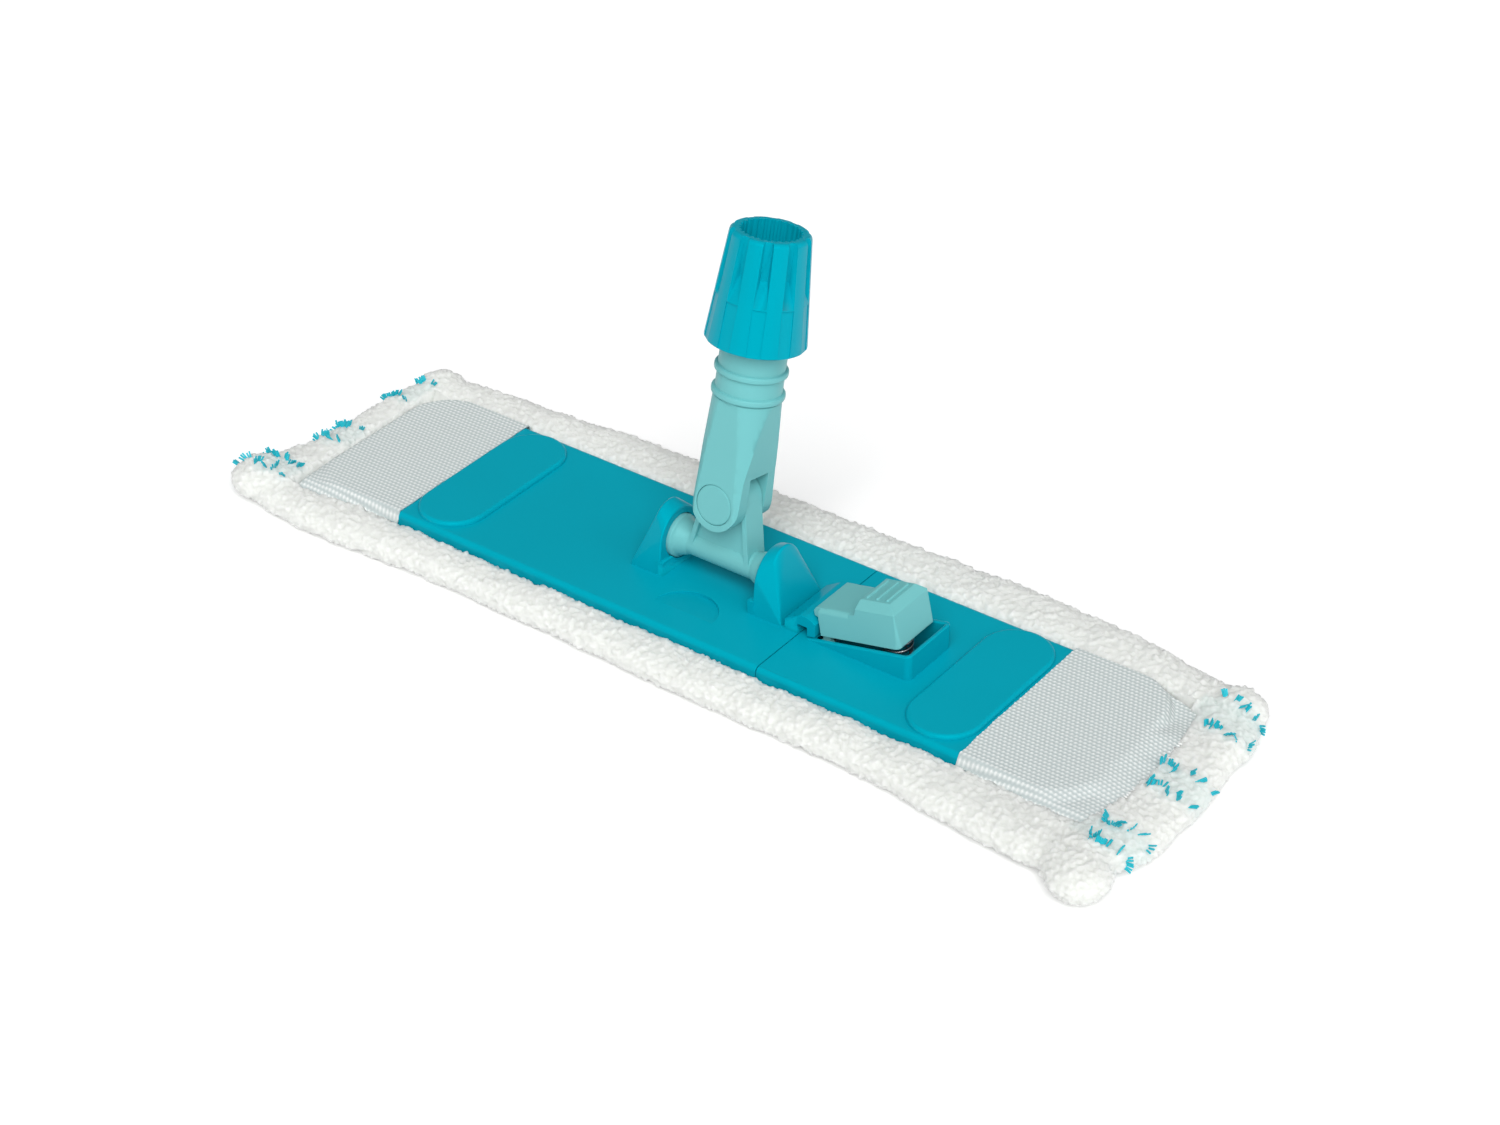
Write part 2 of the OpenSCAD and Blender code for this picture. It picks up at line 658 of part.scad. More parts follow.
// inset of an inner corner where a wall turns into the crown, and where the crown turns into the top
crown_turn = tan(atan2(crown_in, crown_h) / 2);
crown_top = tan(45 - atan2(crown_in, crown_h) / 2);
module pedal_block(d, low) intersection() {
    toe = (skirt_h - low) * pedal_rake / (crown_z - skirt_h);
    end = pedal_u1 - pedal_rake;
    half = pedal_half - pedal_in;
    across(4 * box_half) polygon(rounded([[step_l - 3 + d, low], [pedal_u1 - d + toe, low],
        [end - d, crown_z - crown_turn * d], [end - crown_in - crown_top * d, block_h - d],
        [step_l + 2.2 + d * 0.4, block_h - d], [step_l + d * 0.4, step_h - d], [step_l - 3 + d, step_h - d]],
        d > 0 ? [0, 0, 0, 0, 0, 1, 0] : [0, 0.8, 1.5, 0.8, 1, 1.6, 0]));
    side = [[pedal_half - d, low], [pedal_half - d, skirt_h], [half - d, crown_z - crown_turn * d],
        [half - crown_in - crown_top * d, block_h - d]];
    along(-20, 80) polygon([for (q = side) q, for (i = [3:-1:0]) [-side[i][0], side[i][1]]]);
}
module pedal_step(d, low) intersection() {
    half = pedal_half - d;
    across(4 * box_half) polygon(rounded([[pedal_u0 + d, low], [step_l + 4, low], [step_l + 4, step_h - d],
        [pedal_u0 + d, step_h - d]], [0, 0, 0, d > 0 ? 1 : step_r]));
    along(-20, 80) polygon(rounded([[-half, low], [half, low], [half - pedal_in, step_h - d],
        [pedal_in - half, step_h - d]], [0, 0, max(step_r - d, 0.4), max(step_r - d, 0.4)]));
}
module pedal_shape(d) intersection() {
    low = skirt_h - (d > 0 ? 20 : 0);
    union() {
        pedal_block(d, low);
        pedal_step(d, low);
    }
    translate([0, 0, -20]) linear_extrude(80)
        polygon(box_plan(-20, pedal_u1 - d, pedal_half - d, max(3 - d, 0.5)));
}
module release_pedal() color(c_light) {
    rib_r = 0.75;
    ear_r = ppin_r + 1.8;
    ear_t = 2.4;
    seat_z = spring_top + run_gap;
    at_pedal() {
        difference() {
            union() {
                pedal_shape(0);
                // lip over the keeper
                across(2 * pedal_half - 4) polygon(rounded([lip, [0.5, lip[1] - 1.7], [3, step_h],
                    [lip[0] + 1.4, step_h], [lip[0], step_h - 1.6]], [0.3, 0, 0, 1.2, 0.8], 3));
            }
            pedal_shape(pedal_t);
        }
        // grip ribs on the press block
        for (i = [0:pedal_ribs - 1]) translate([step_l + 4.6 + rib_pitch * i, 0, block_h]) rotate([90, 0, 0])
            cylinder(r = rib_r, h = 2 * (pedal_half - pedal_in - crown_in) - 2.4, center = true);
        // ears down to the pivot pin
        for (k = [-1, 1]) translate([0, k * (pedal_half - ear_t), 0]) difference() {
            across(ear_t) {
                circle(ear_r);
                translate([ear_t - ear_r, 0]) square([ear_r, skirt_h + 3]);
            }
            rotate([90, 0, 0]) cylinder(r = ppin_r + pin_gap, h = 10, center = true);
        }
    }
    // seat on top of the spring, level in the rest pose, on two brackets from the side walls
    difference() {
        translate([seat_x, 0, seat_z]) cylinder(r = spring_r + wire_r + 1, h = 3.2);
        at_pedal() translate([pedal_u1 - pedal_t, -50, -50]) cube(100);
    }
    intersection() {
        for (k = [0, 1]) mirror([0, k, 0]) translate([seat_x - 4, spring_r - 1, seat_z])
            cube([8, pedal_half - spring_r, 2.4]);
        at_pedal() pedal_shape(pedal_t - 0.4);
    }
}
module pedal_pin() color(c_steel) translate([pivot_x, 0, pivot_z]) rotate([90, 0, 0])
    cylinder(r = ppin_r, h = 2 * (ppin_half - rest_gap), center = true);

// Return spring: one unbroken tube that winds up from the box's floor to the pedal's seat
spring_top = top_z + box_h;
spring_z0 = box_floor + wire_r + rest_gap;
spring_z1 = spring_top - wire_r - rest_gap;
curl_rings = 8;
wire_sides = 6;
spring_k = spring_n * curl_rings;
function coil(i) = let (a = 360 * i / curl_rings)
    [spring_r * cos(a), spring_r * sin(a), spring_z0 + (spring_z1 - spring_z0) * i / spring_k];
function coil_dir(i) = unit(coil(min(i + 0.5, spring_k)) - coil(max(i - 0.5, 0)));
function coil_ring(i) = let (c = coil(i), d = coil_dir(i), n = unit([c[0], c[1], 0]), b = cross(d, n))
    [for (k = [0:wire_sides - 1]) let (a = k * 360 / wire_sides) c + wire_r * (cos(a) * n + sin(a) * b)];
module pedal_spring() color(c_steel) translate([seat_x, 0, 0]) {
    echo(spring_least_gap = min([for (i = [0:spring_k - curl_rings])
        norm(coil(i + curl_rings) - coil(i)) - 2 * wire_r]));
    m = wire_sides;
    last = spring_k * m;
    polyhedron(points = [for (i = [0:spring_k]) each coil_ring(i)],
        faces = concat(
            [for (k = [1:m - 2]) [0, k, k + 1]],
            [for (k = [1:m - 2]) [last, last + k + 1, last + k]],
            [for (i = [0:spring_k - 1], k = [0:m - 1], h = [0, 1])
                let (p = i * m + k, q = i * m + (k + 1) % m) h == 0 ? [p, p + m, q] : [q, p + m, q + m]]));
}

// Pile pad: a slab under the plate, a roll round the edge and a lobe at each corner
pad_hl = half_l + pad_end;
pad_hw = half_w + pad_side;
roll_in = half_w + 2 * rest_gap;
roll_w = pad_hw - roll_in;
turn_r = roll_w + 2;
// outline of the roll, grown by d
module roll_section(d = 0) {
    r = roll_h / 2 + d;
    translate([r - d, -d]) square([roll_w + 2 * d - 2 * r, 2 * r]);
    for (x = [roll_h / 2, roll_w - roll_h / 2]) translate([x, roll_h / 2]) circle(r);
}
// bun-shaped corner
module lobe() rotate_extrude() intersection() {
    union() {
        square([lobe_r - lobe_h / 2, lobe_h]);
        translate([lobe_r - lobe_h / 2, lobe_h / 2]) circle(lobe_h / 2);
    }
    square(big);
}
module pad_whole() difference() {
    union() {
        translate([-pad_hl + roll_h, -pad_hw + roll_h, 0])
            cube([2 * (pad_hl - roll_h), 2 * (pad_hw - roll_h), pile_h]);
        for (k = [0, 180]) rotate([0, 0, k]) {
            along(-pad_hl + turn_r, 2 * (pad_hl - turn_r)) translate([roll_in, 0]) roll_section();
            translate([pad_hl - roll_w, 0, 0]) across(2 * (pad_hw - turn_r)) roll_section();
            for (a = [0, 90]) translate([(a == 0 ? 1 : -1) * (pad_hl - turn_r), pad_hw - turn_r, 0])
                rotate([0, 0, a]) rotate_extrude(angle = 90) translate([turn_r - roll_w, 0]) roll_section();
        }
        for (x = [-1, 1], y = [-1, 1])
            translate([x * (pad_hl + lobe_end - lobe_r), y * (pad_hw + lobe_side - lobe_r), 0]) lobe();
    }
    for (s = [-1, 1]) at_end(s) {
        pocket_form(s, -rest_gap, mouth(s) - rest_gap);
        scrub_strips(rest_gap);
        strand_room();
    }
}
module pad_half(s) intersection() {
    pad_whole();
    translate([split_x + s * fold_gap / 2 - (s < 0 ? big : 0), -big / 2, -1]) cube(big);
}
module pad_main() color(c_pile) pad_half(-1);
module pad_fold() color(c_pile) pad_half(1);

// Backing cloth on the pile, under the plate
back_x = pad_hl - roll_w - rest_gap - mesh_t - 1;
module backing(x0, x1) translate([x0, -half_w + root, pile_h + rest_gap])
    cube([x1 - x0, plate_w - 2 * root, back_t]);
module backing_main() color(c_mesh) backing(-back_x, split_x - fold_gap / 2);
module backing_fold() color(c_mesh) backing(split_x + fold_gap / 2, back_x);

// Mesh pocket drawn over a plate end: d is the inset from its outer face, x0 its mouth
function mouth(s) = half_l - (s > 0 ? reach_r : reach_l);
pocket_hw = half_w + mesh_t + 0.8;
pocket_top = top_z + 2 * rest_gap + mesh_t;
crease = half_l + 1.4;
module pocket_form(s, d, x0) intersection() {
    end_x = half_l + (s > 0 ? past_r : past_l);
    end_z = top_z - (s > 0 ? drop_r : drop_l);
    fall = atan2(pocket_top - end_z, end_x - crease);
    across(2 * (pocket_hw - d)) polygon([[x0, 0], [x0, pocket_top - d],
        [crease - d * tan(fall / 2), pocket_top - d],
        [end_x - d, end_z - d * (1 - sin(fall)) / cos(fall)], [end_x - d, 0]]);
    translate([-big / 2, -big / 2, pile_h + rest_gap + min(d, 0)]) cube(big);
}
module pocket(s) at_end(s) difference() {
    pocket_form(s, 0, mouth(s));
    pocket_form(s, mesh_t, mouth(s) - 20);
}
module pocket_left() color(c_mesh) pocket(-1);
module pocket_right() color(c_mesh) pocket(1);

// Scrub rows on the end rolls: strips let into the pile, with tufts of stiff strands
scrub_y = [for (i = [-1:1], k = [-0.5, 0.5]) i * row_pitch + k * row_gap - row_shift];
strip_w = 2.8;
strip_d = 1.2;
strip_out = 0.3;
strip_x = roll_w - strip_in;
strip_z = 3;
// the roll's skin from the middle of its top down to low on its outside, grown by g
module strip_section(g) difference() {
    roll_section(strip_out + g);
    roll_section(-strip_d - g);
    translate([strip_x - g - big, -big / 2]) square(big);
    translate([-big / 2, strip_z - g - big]) square(big);
}
module scrub_strips(g) for (y = scrub_y) translate([pad_hl - roll_w, y, 0]) across(strip_w + 2 * g)
    strip_section(g);
// a repeatable scatter between -1 and 1
function scatter(i) = let (v = sin(i * 127.1 + 31.7) * 43758.5453) 2 * (v - floor(v)) - 1;
// a point on the strip and its outward angle, t from 0 on top to 1 low on the outside
function strip_pt(t) =
    let (r = roll_h / 2, flat = roll_w - r - strip_x, arc = 75, s = t * (flat + arc * r * PI / 180))
    s < flat ? [strip_x + s, roll_h, 90]
             : let (a = 90 - (s - flat) / r * 180 / PI) [roll_w - r + r * cos(a), r + r * sin(a), a];
// strands of one tuft fan out across the row and share one slant along it
strand_r = 0.24;
strand_step = 0.42;
fan = 13;
module tuft(i, p, y) translate([p[0], y, p[1]]) rotate([0, 90 - p[2] + 11 * scatter(2 * i), 0])
    for (k = [0:tuft_n - 1]) let (c = k - (tuft_n - 1) / 2)
        translate([0, c * strand_step, -strip_d / 2]) rotate([-fan * c, 0, 0])
            cylinder(r = strand_r, h = strip_d / 2 + strand_l * (0.85 + 0.15 * scatter(7 * i + k)), $fn = 3);
// room that the strands of each row need above the roll's skin
fan_half = (tuft_n - 1) / 2 * strand_step + strand_l * sin(fan * (tuft_n - 1) / 2) + strand_r + rest_gap;
slant_room = 1.5;
module strand_room() for (y = scrub_y) translate([pad_hl - roll_w, y, 0]) across(2 * fan_half) difference() {
    roll_section(max(strand_l, lobe_h - roll_h) + 1);
    roll_section();
    translate([strip_x - slant_room - big, -big / 2]) square(big);
    translate([-big / 2, strip_z - slant_room - big]) square(big);
}
module scrub(s) at_end(s) {
    scrub_strips(0);
    for (j = [0:len(scrub_y) - 1], t = [0:tufts - 1])
        translate([pad_hl - roll_w, 0, 0])
            tuft(s * (j * tufts + t + 1), strip_pt((t + 0.5) / tufts), scrub_y[j]);
}
module scrub_left() color(c_teal) scrub(-1);
module scrub_right() color(c_teal) scrub(1);

main_plate();
fold_plate();
hinge_pin();
yoke();
socket_sleeve();
knuckle_pin();
knuckle_cap();
collet();
clamp_nut();
release_pedal();
pedal_pin();
pedal_spring();
pad_main();
pad_fold();
backing_main();
backing_fold();
pocket_left();
pocket_right();
scrub_left();
scrub_right();
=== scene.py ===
"""Looks of a flat mop head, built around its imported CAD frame.

The hard pieces are the CAD solids with their moulded edges rounded. The pile pad, its backing,
the two mesh pockets, the scrub tufts and the pedal's spring are modelled here and stand for their
solids.
"""

import math
import random

import bmesh
import bpy
import numpy as np
from mathutils import Matrix, Vector, noise
from mathutils.bvhtree import BVHTree


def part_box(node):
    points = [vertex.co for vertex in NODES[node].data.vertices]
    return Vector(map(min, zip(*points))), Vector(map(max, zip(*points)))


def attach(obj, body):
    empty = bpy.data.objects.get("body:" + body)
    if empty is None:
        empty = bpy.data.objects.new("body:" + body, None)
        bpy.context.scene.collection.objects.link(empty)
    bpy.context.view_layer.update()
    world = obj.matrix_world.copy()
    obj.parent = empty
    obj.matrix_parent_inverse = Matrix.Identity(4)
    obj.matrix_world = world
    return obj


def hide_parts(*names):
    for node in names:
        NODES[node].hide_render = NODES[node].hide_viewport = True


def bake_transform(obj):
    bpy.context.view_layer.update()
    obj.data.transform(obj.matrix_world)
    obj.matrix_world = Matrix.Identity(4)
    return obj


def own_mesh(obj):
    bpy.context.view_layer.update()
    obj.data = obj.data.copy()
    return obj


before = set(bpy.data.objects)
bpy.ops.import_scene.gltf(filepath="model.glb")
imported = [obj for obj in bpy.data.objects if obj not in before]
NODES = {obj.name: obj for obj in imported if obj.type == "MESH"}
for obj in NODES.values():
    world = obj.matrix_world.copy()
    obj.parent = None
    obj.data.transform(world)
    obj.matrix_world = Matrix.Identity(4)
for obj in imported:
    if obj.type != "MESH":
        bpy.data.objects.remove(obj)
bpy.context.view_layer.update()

bl_info = {
    "name": "Flat mop looks",
    "version": (1, 0, 0),
    "blender": (4, 5, 0),
    "location": "View3D > Sidebar > Flat mop",
    "description": "Finishes, soft goods and studio for a flat mop head on its CAD frame",
    "category": "Object",
}

MM = 0.001

# The photograph's camera: where it looks from and at, and its lens on a 36 mm sensor
VIEW_AZIMUTH, VIEW_ELEVATION = 36.37, 34.15
VIEW_DISTANCE, VIEW_LENS = 1.380, 76.8
VIEW_TARGET = (0.0010, 0.0159, 0.0150)
SENSOR_WIDTH = 36

# Lamps: a broad key from over the camera and a weak low fill from the right, as name, azimuth,
# elevation, strength and spread, with angles in degrees
LAMPS = (("key", 34, 50, 2.25, 45), ("fill", 95, 18, 0.45, 45))
# The room's own light: azimuth and elevation of its bright side, and its strength behind and there
ROOM_SIDE = (36, 40)
ROOM_DIM, ROOM_BRIGHT = 0.09, 0.5
# Glow that takes the floor to white where the camera or a reflection sees it
FLOOR_GLOW = 0.18

# Places on the frame, from the solids
POCKET_OVER = 1.24 * MM  # top of a CAD pocket over the plate
PLATE_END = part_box("fold_plate")[1].x
PLATE_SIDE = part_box("fold_plate")[1].y
PLATE_ROUND = 22 * MM
PLATE_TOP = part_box("pocket_right")[1].z - POCKET_OVER
BACKING_LOW, BACKING_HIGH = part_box("backing_main")[0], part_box("backing_fold")[1]
MOUTH_LEFT, MOUTH_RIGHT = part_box("pocket_left")[1].x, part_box("pocket_right")[0].x

# The pad's edge roll as it lies, in mm: middle of the roll, half width and height
PAD_ROLL = [
    (-198, -56.1, 10.9, 12.5), (-169, -56.4, 11.2, 12.5), (-135, -55.2, 10.0, 12.2),
    (-105, -54.6, 9.4, 12.2), (-74, -54.8, 9.6, 12.2), (-19, -55.2, 10.0, 12.3),
    (35, -56.0, 10.8, 12.5), (65, -55.8, 10.6, 12.5), (113, -55.9, 10.7, 12.6),
    (138, -57.4, 12.2, 12.8), (164, -59.0, 13.8, 13.0), (187, -60.4, 15.2, 13.5),
    (209, -60.0, 14.6, 14.0), (220.5, -46.0, 16.2, 14.0), (221.8, -22.0, 17.0, 13.8),
    (221.6, 0.0, 16.8, 13.5), (220.2, 21.0, 15.4, 13.5), (220.8, 40.0, 15.4, 13.5),
    (212, 54.0, 11.4, 14.0), (198, 56.0, 10.9, 14.4), (177, 58.2, 13.2, 14.8),
    (147, 59.6, 14.6, 15.0), (99, 60.4, 15.4, 15.0), (45, 59.8, 14.8, 14.8),
    (-10, 59.7, 14.7, 14.5), (-70, 59.6, 14.6, 14.5), (-95, 59.4, 14.4, 14.4),
    (-125, 58.4, 13.4, 14.2), (-159, 56.6, 11.6, 14.0), (-187, 55.6, 10.6, 14.0),
    (-205, 52.0, 9.8, 14.0), (-212.4, 36.0, 9.2, 13.5), (-213.0, 19.0, 9.6, 13.2),
    (-213.4, 0.0, 9.8, 13.0), (-214.4, -19.0, 11.0, 13.0), (-217.5, -36.0, 13.2, 13.4),
    (-213, -52.0, 11.6, 13.8),
]
# Puffy corners of the roll, in mm: middle, radius and height
PAD_LOBES = [
    (214.0, -64.0, 15.5, 15.5), (218.0, -68.5, 15.0, 15.4), (221.5, -72.5, 13.8, 15.4),
    (218.5, 55.0, 12.8, 16.5), (204.0, 49.0, 12.0, 14.4), (-203.0, 48.0, 11.5, 14.2),
    (-209.0, 56.0, 11.6, 16.0), (-214.0, -50.0, 14.0, 15.2), (-219.0, -51.0, 14.2, 16.2),
    (-224.0, -51.5, 14.0, 17.0),
]
PAD_FLOOR = 0.2 * MM
SLAB_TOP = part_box("backing_main")[0].z - 0.15 * MM
# Unevenness of the pile over its clumps: share and width in mm
PILE_LUMPS = ((0.8, 15), (0.2, 5), (0.95, 2.1), (0.55, 1.0))
LUMP_HEIGHT = 1.0 * MM
BAND_TINT = 0.55

# The mesh's seams: how far out they lie, the right one's bow and the left one's tuck at the rear
SEAM_RIGHT, SEAM_LEFT = 215.6 * MM, 206.5 * MM
SEAM_BOW, SEAM_TUCK = 3.0, 10.5 * MM
# The mesh's long edges past the plate's sides, and how far they run out or draw in to the end
FRONT_LAP, FRONT_SPREAD = 1.2 * MM, 6.0 * MM
REAR_LAP, REAR_DRAW = 3.2 * MM, 8.6 * MM
# Falls of the mesh from the plate's top, in mm; those with two values are for the right and left
END_FALL, REAR_FALL = {1: 2.8, -1: 6.5}, {1: 4.6, -1: 7.2}
FRONT_FALL, CORNER_FALL = 5.0, 2.0
MESH_OVER = 0.55 * MM  # middle of the cloth over the plate's top
MESH_TURN_DOWN = 10.4 * MM  # width of the flat cloth beyond the plate's

# Rows of scrub tufts across each end, in mm from the middle
ROWS_RIGHT = (-57, -44, -14, 0, 33, 50)
ROWS_LEFT = (-52, -42, -14, -1, 32, 48)
# Where a row starts on the roll, in degrees from its outside; the left seam is tucked in, so more
# of the roll's inside shows there
ROW_START = {1: 112, -1: 146}
ROW_X, ROW_Z = 218 * MM, 6.0 * MM  # middle of the roll that a row goes round

ROUND_FROM = 38  # degrees between two faces from which their edge is rounded


def linear(hex_colour):
    """Scene-linear RGBA of an sRGB hex value."""
    values = [int(hex_colour[i:i + 2], 16) / 255 for i in (1, 3, 5)]
    return [v / 12.92 if v <= 0.04045 else ((v + 0.055) / 1.055) ** 2.4 for v in values] + [1.0]


def length(name, description, millimetres):
    return bpy.props.FloatProperty(name=name, description=description, default=millimetres * MM,
                                   min=0.0, precision=5, subtype="DISTANCE", unit="LENGTH")


def number(name, description, default, low, high):
    return bpy.props.IntProperty(name=name, description=description, default=default,
                                 min=low, max=high)


def colour(name, description, hex_colour):
    return bpy.props.FloatVectorProperty(name=name, description=description, size=4, min=0.0,
                                         max=1.0, subtype="COLOR", default=linear(hex_colour))


class MopSizes(bpy.types.PropertyGroup):
    """Sizes of the finish and of the soft goods."""
    plate_round: length("Plate edge", "Radius of the edges of the plates and the pedal", 0.7)
    edge_round: length("Joint edge", "Radius of the edges of the universal joint", 0.4)
    fine_round: length("Fine edge", "Radius of the edges of the nut and small pieces", 0.22)
    pile_clump: length("Pile clump", "Width of one clump of the pile", 2.2)
    pile_depth: length("Pile depth", "Height of a clump above the pile's valleys", 0.8)
    knit_along: length("Knit along", "Spacing of the mesh's knots along the plate", 2.1)
    knit_across: length("Knit across", "Spacing of the mesh's rows across the plate", 2.0)
    knit_relief: length("Knit relief", "Height of a knot above the mesh's gaps", 0.42)
    mesh_thick: length("Mesh thickness", "Thickness of the mesh cloth", 0.45)
    backing_thick: length("Backing thickness", "Thickness of the backing cloth", 0.55)
    stitch_pitch: length("Stitch pitch", "Spacing of the overlock stitches along a mesh's end", 1.5)
    strand_length: length("Strand length", "Length of a scrub strand", 5.2)
    strand_width: length("Strand width", "Width of a flat scrub strand", 0.75)
    wire: length("Spring wire", "Radius of the spring's wire", 0.65)


class MopColours(bpy.types.PropertyGroup):
    """Colours of the finishes."""
    teal: colour("Teal", "Moulded plates and nut", "#00a4b9")
    light_teal: colour("Light teal", "Moulded joint, socket and pedal", "#75c0c2")
    teal_gloss: colour("Teal gloss", "Gloss of the teal plastic", "#00ccd8")
    light_gloss: colour("Light gloss", "Gloss of the light teal plastic", "#a8f0f2")
    pile: colour("Pile", "Tips of the pile", "#e8eae6")
    # painted shade: the grey of the pile in the valleys between its clumps
    pile_valley_shade: colour("Pile valleys", "Pile between the clumps", "#e3e5e1")
    pile_tint: colour("Pile tint", "Pile between two scrub rows", "#e8f5f6")
    knot: colour("Mesh knots", "Raised knots of the mesh", "#fafcfb")
    # painted shade: the grey in the holes between the knots
    gap: colour("Mesh gaps", "Gaps between the knots", "#b8c3c3")
    backing: colour("Backing", "Woven backing cloth", "#d9dddb")
    strand: colour("Strands", "Stiff scrub strands", "#14b0c0")
    steel: colour("Steel", "Spring and pins", "#b4b8bb")
    floor: colour("Floor", "Studio floor", "#fbfbfb")


def sizes():
    return bpy.context.scene.mop_sizes


def tone(name, factor=1.0):
    """One of the mop's colours, with its light scaled."""
    return [c * factor for c in getattr(bpy.context.scene.mop_colours, name)[:3]] + [1.0]


# Materials


def add(material, kind, settings=None, inputs=None):
    """Adds a node; settings are its properties, and inputs are values or other nodes' outputs."""
    node = material.node_tree.nodes.new(kind)
    for key, value in (settings or {}).items():
        setattr(node, key, value)
    for key, value in (inputs or {}).items():
        if isinstance(value, bpy.types.NodeSocket):
            material.node_tree.links.new(value, node.inputs[key])
        else:
            node.inputs[key].default_value = value
    return node


def surface(name):
    """A new material with its shader and Object coordinates."""
    material = bpy.data.materials.new(name)
    material.use_nodes = True
    shader = material.node_tree.nodes["Principled BSDF"]
    coords = add(material, "ShaderNodeTexCoord").outputs["Object"]
    return material, shader, coords


def link(material, output, socket):
    material.node_tree.links.new(output, socket)


def moulded_plastic(name, base, darker, gloss, roughness, grain):
    """Injection-moulded ABS: a satin skin with a fine spark-eroded grain and a faint mottle."""
    material, shader, coords = surface(name)
    # flow mottle some 30 mm across, too faint to read as a pattern
    mottle = add(material, "ShaderNodeTexNoise", None,
                 {"Vector": coords, "Scale": 1 / (30 * MM), "Detail": 2.0})
    shade = add(material, "ShaderNodeMix", {"data_type": "RGBA"},
                {"Factor": mottle.outputs["Fac"], "A": darker, "B": base})
    link(material, shade.outputs["Result"], shader.inputs["Base Color"])
    # the real grain is about 0.1 mm; it is drawn at 0.45 mm so that it shows
    grit = add(material, "ShaderNodeTexNoise", None,
               {"Vector": coords, "Scale": 1 / (0.45 * MM), "Detail": 3.0})
    rough = add(material, "ShaderNodeMapRange", None,
                {"Value": grit.outputs["Fac"], "To Min": roughness - 0.05,
                 "To Max": roughness + 0.07})
    link(material, rough.outputs["Result"], shader.inputs["Roughness"])
    bump = add(material, "ShaderNodeBump", None,
               {"Height": grit.outputs["Fac"], "Strength": grain, "Distance": 0.03 * MM})
    link(material, bump.outputs["Normal"], shader.inputs["Normal"])
    # a deep-dyed plastic keeps its colour in its soft gloss
    shader.inputs["IOR"].default_value = 1.5
    shader.inputs["Specular IOR Level"].default_value = 0.3
    shader.inputs["Specular Tint"].default_value = gloss
    return material


def drawn_steel(name, base):
    """Bright drawn steel wire and pins: fine draw marks break up the gloss."""
    material, shader, coords = surface(name)
    # real draw marks are finer; they are drawn at 0.4 mm so that they show
    marks = add(material, "ShaderNodeTexNoise", None,
                {"Vector": coords, "Scale": 1 / (0.4 * MM), "Detail": 2.0})
    rough = add(material, "ShaderNodeMapRange", None,
                {"Value": marks.outputs["Fac"], "To Min": 0.22, "To Max": 0.36})
    link(material, rough.outputs["Result"], shader.inputs["Roughness"])
    shader.inputs["Base Color"].default_value = base
    shader.inputs["Metallic"].default_value = 1.0
    return material


def microfibre_pile(name, tip, deep, tint):
    """Cut microfibre pile: matt white tips, valleys greyed with painted shade, and a soft sheen of
    loose fibre ends.
    """
    material, shader, coords = surface(name)
    height = add(material, "ShaderNodeAttribute", {"attribute_name": "pile_height"}).outputs["Fac"]
    band = add(material, "ShaderNodeAttribute", {"attribute_name": "scrub_band"}).outputs["Fac"]
    # the valleys between the clumps are painted greyer as their shade, by the pile's height
    shade = add(material, "ShaderNodeMix", {"data_type": "RGBA"},
                {"Factor": height, "A": deep, "B": tip})
    tinted = add(material, "ShaderNodeMix", {"data_type": "RGBA", "blend_type": "MULTIPLY"},
                 {"Factor": band, "A": shade.outputs["Result"], "B": tint})
    link(material, tinted.outputs["Result"], shader.inputs["Base Color"])
    # single fibres are 0.02 mm; bundles of them show at about 0.8 mm
    fibre = add(material, "ShaderNodeTexNoise", None,
                {"Vector": coords, "Scale": 1 / (0.8 * MM), "Detail": 4.0, "Roughness": 0.7})
    bump = add(material, "ShaderNodeBump", None,
               {"Height": fibre.outputs["Fac"], "Strength": 0.45, "Distance": 0.4 * MM})
    link(material, bump.outputs["Normal"], shader.inputs["Normal"])
    shader.inputs["Roughness"].default_value = 0.95
    shader.inputs["Specular IOR Level"].default_value = 0.1
    # light goes a little way into the pile and comes out softened
    shader.inputs["Subsurface Weight"].default_value = 1.0
    shader.inputs["Subsurface Radius"].default_value = (1.0, 1.0, 1.0)
    shader.inputs["Subsurface Scale"].default_value = 6 * MM
    shader.inputs["Sheen Weight"].default_value = 0.1
    shader.inputs["Sheen Roughness"].default_value = 0.6
    return material


def knitted_mesh(name, knot, gap):
    """Coarse warp-knitted polyester mesh: white knots that stand over gaps painted grey as their
    shade.
    """
    material, shader, coords = surface(name)
    height = add(material, "ShaderNodeAttribute", {"attribute_name": "knit_height"}).outputs["Fac"]
    # the gaps between the knots are painted grey as their shade, by the knit's height
    shade = add(material, "ShaderNodeMix", {"data_type": "RGBA"},
                {"Factor": height, "A": gap, "B": knot})
    link(material, shade.outputs["Result"], shader.inputs["Base Color"])
    # yarn filaments, drawn at 0.3 mm so that they show
    yarn = add(material, "ShaderNodeTexNoise", None,
               {"Vector": coords, "Scale": 1 / (0.3 * MM), "Detail": 2.0})
    bump = add(material, "ShaderNodeBump", None,
               {"Height": yarn.outputs["Fac"], "Strength": 0.4, "Distance": 0.1 * MM})
    link(material, bump.outputs["Normal"], shader.inputs["Normal"])
    shader.inputs["Roughness"].default_value = 0.7
    shader.inputs["Specular IOR Level"].default_value = 0.25
    return material


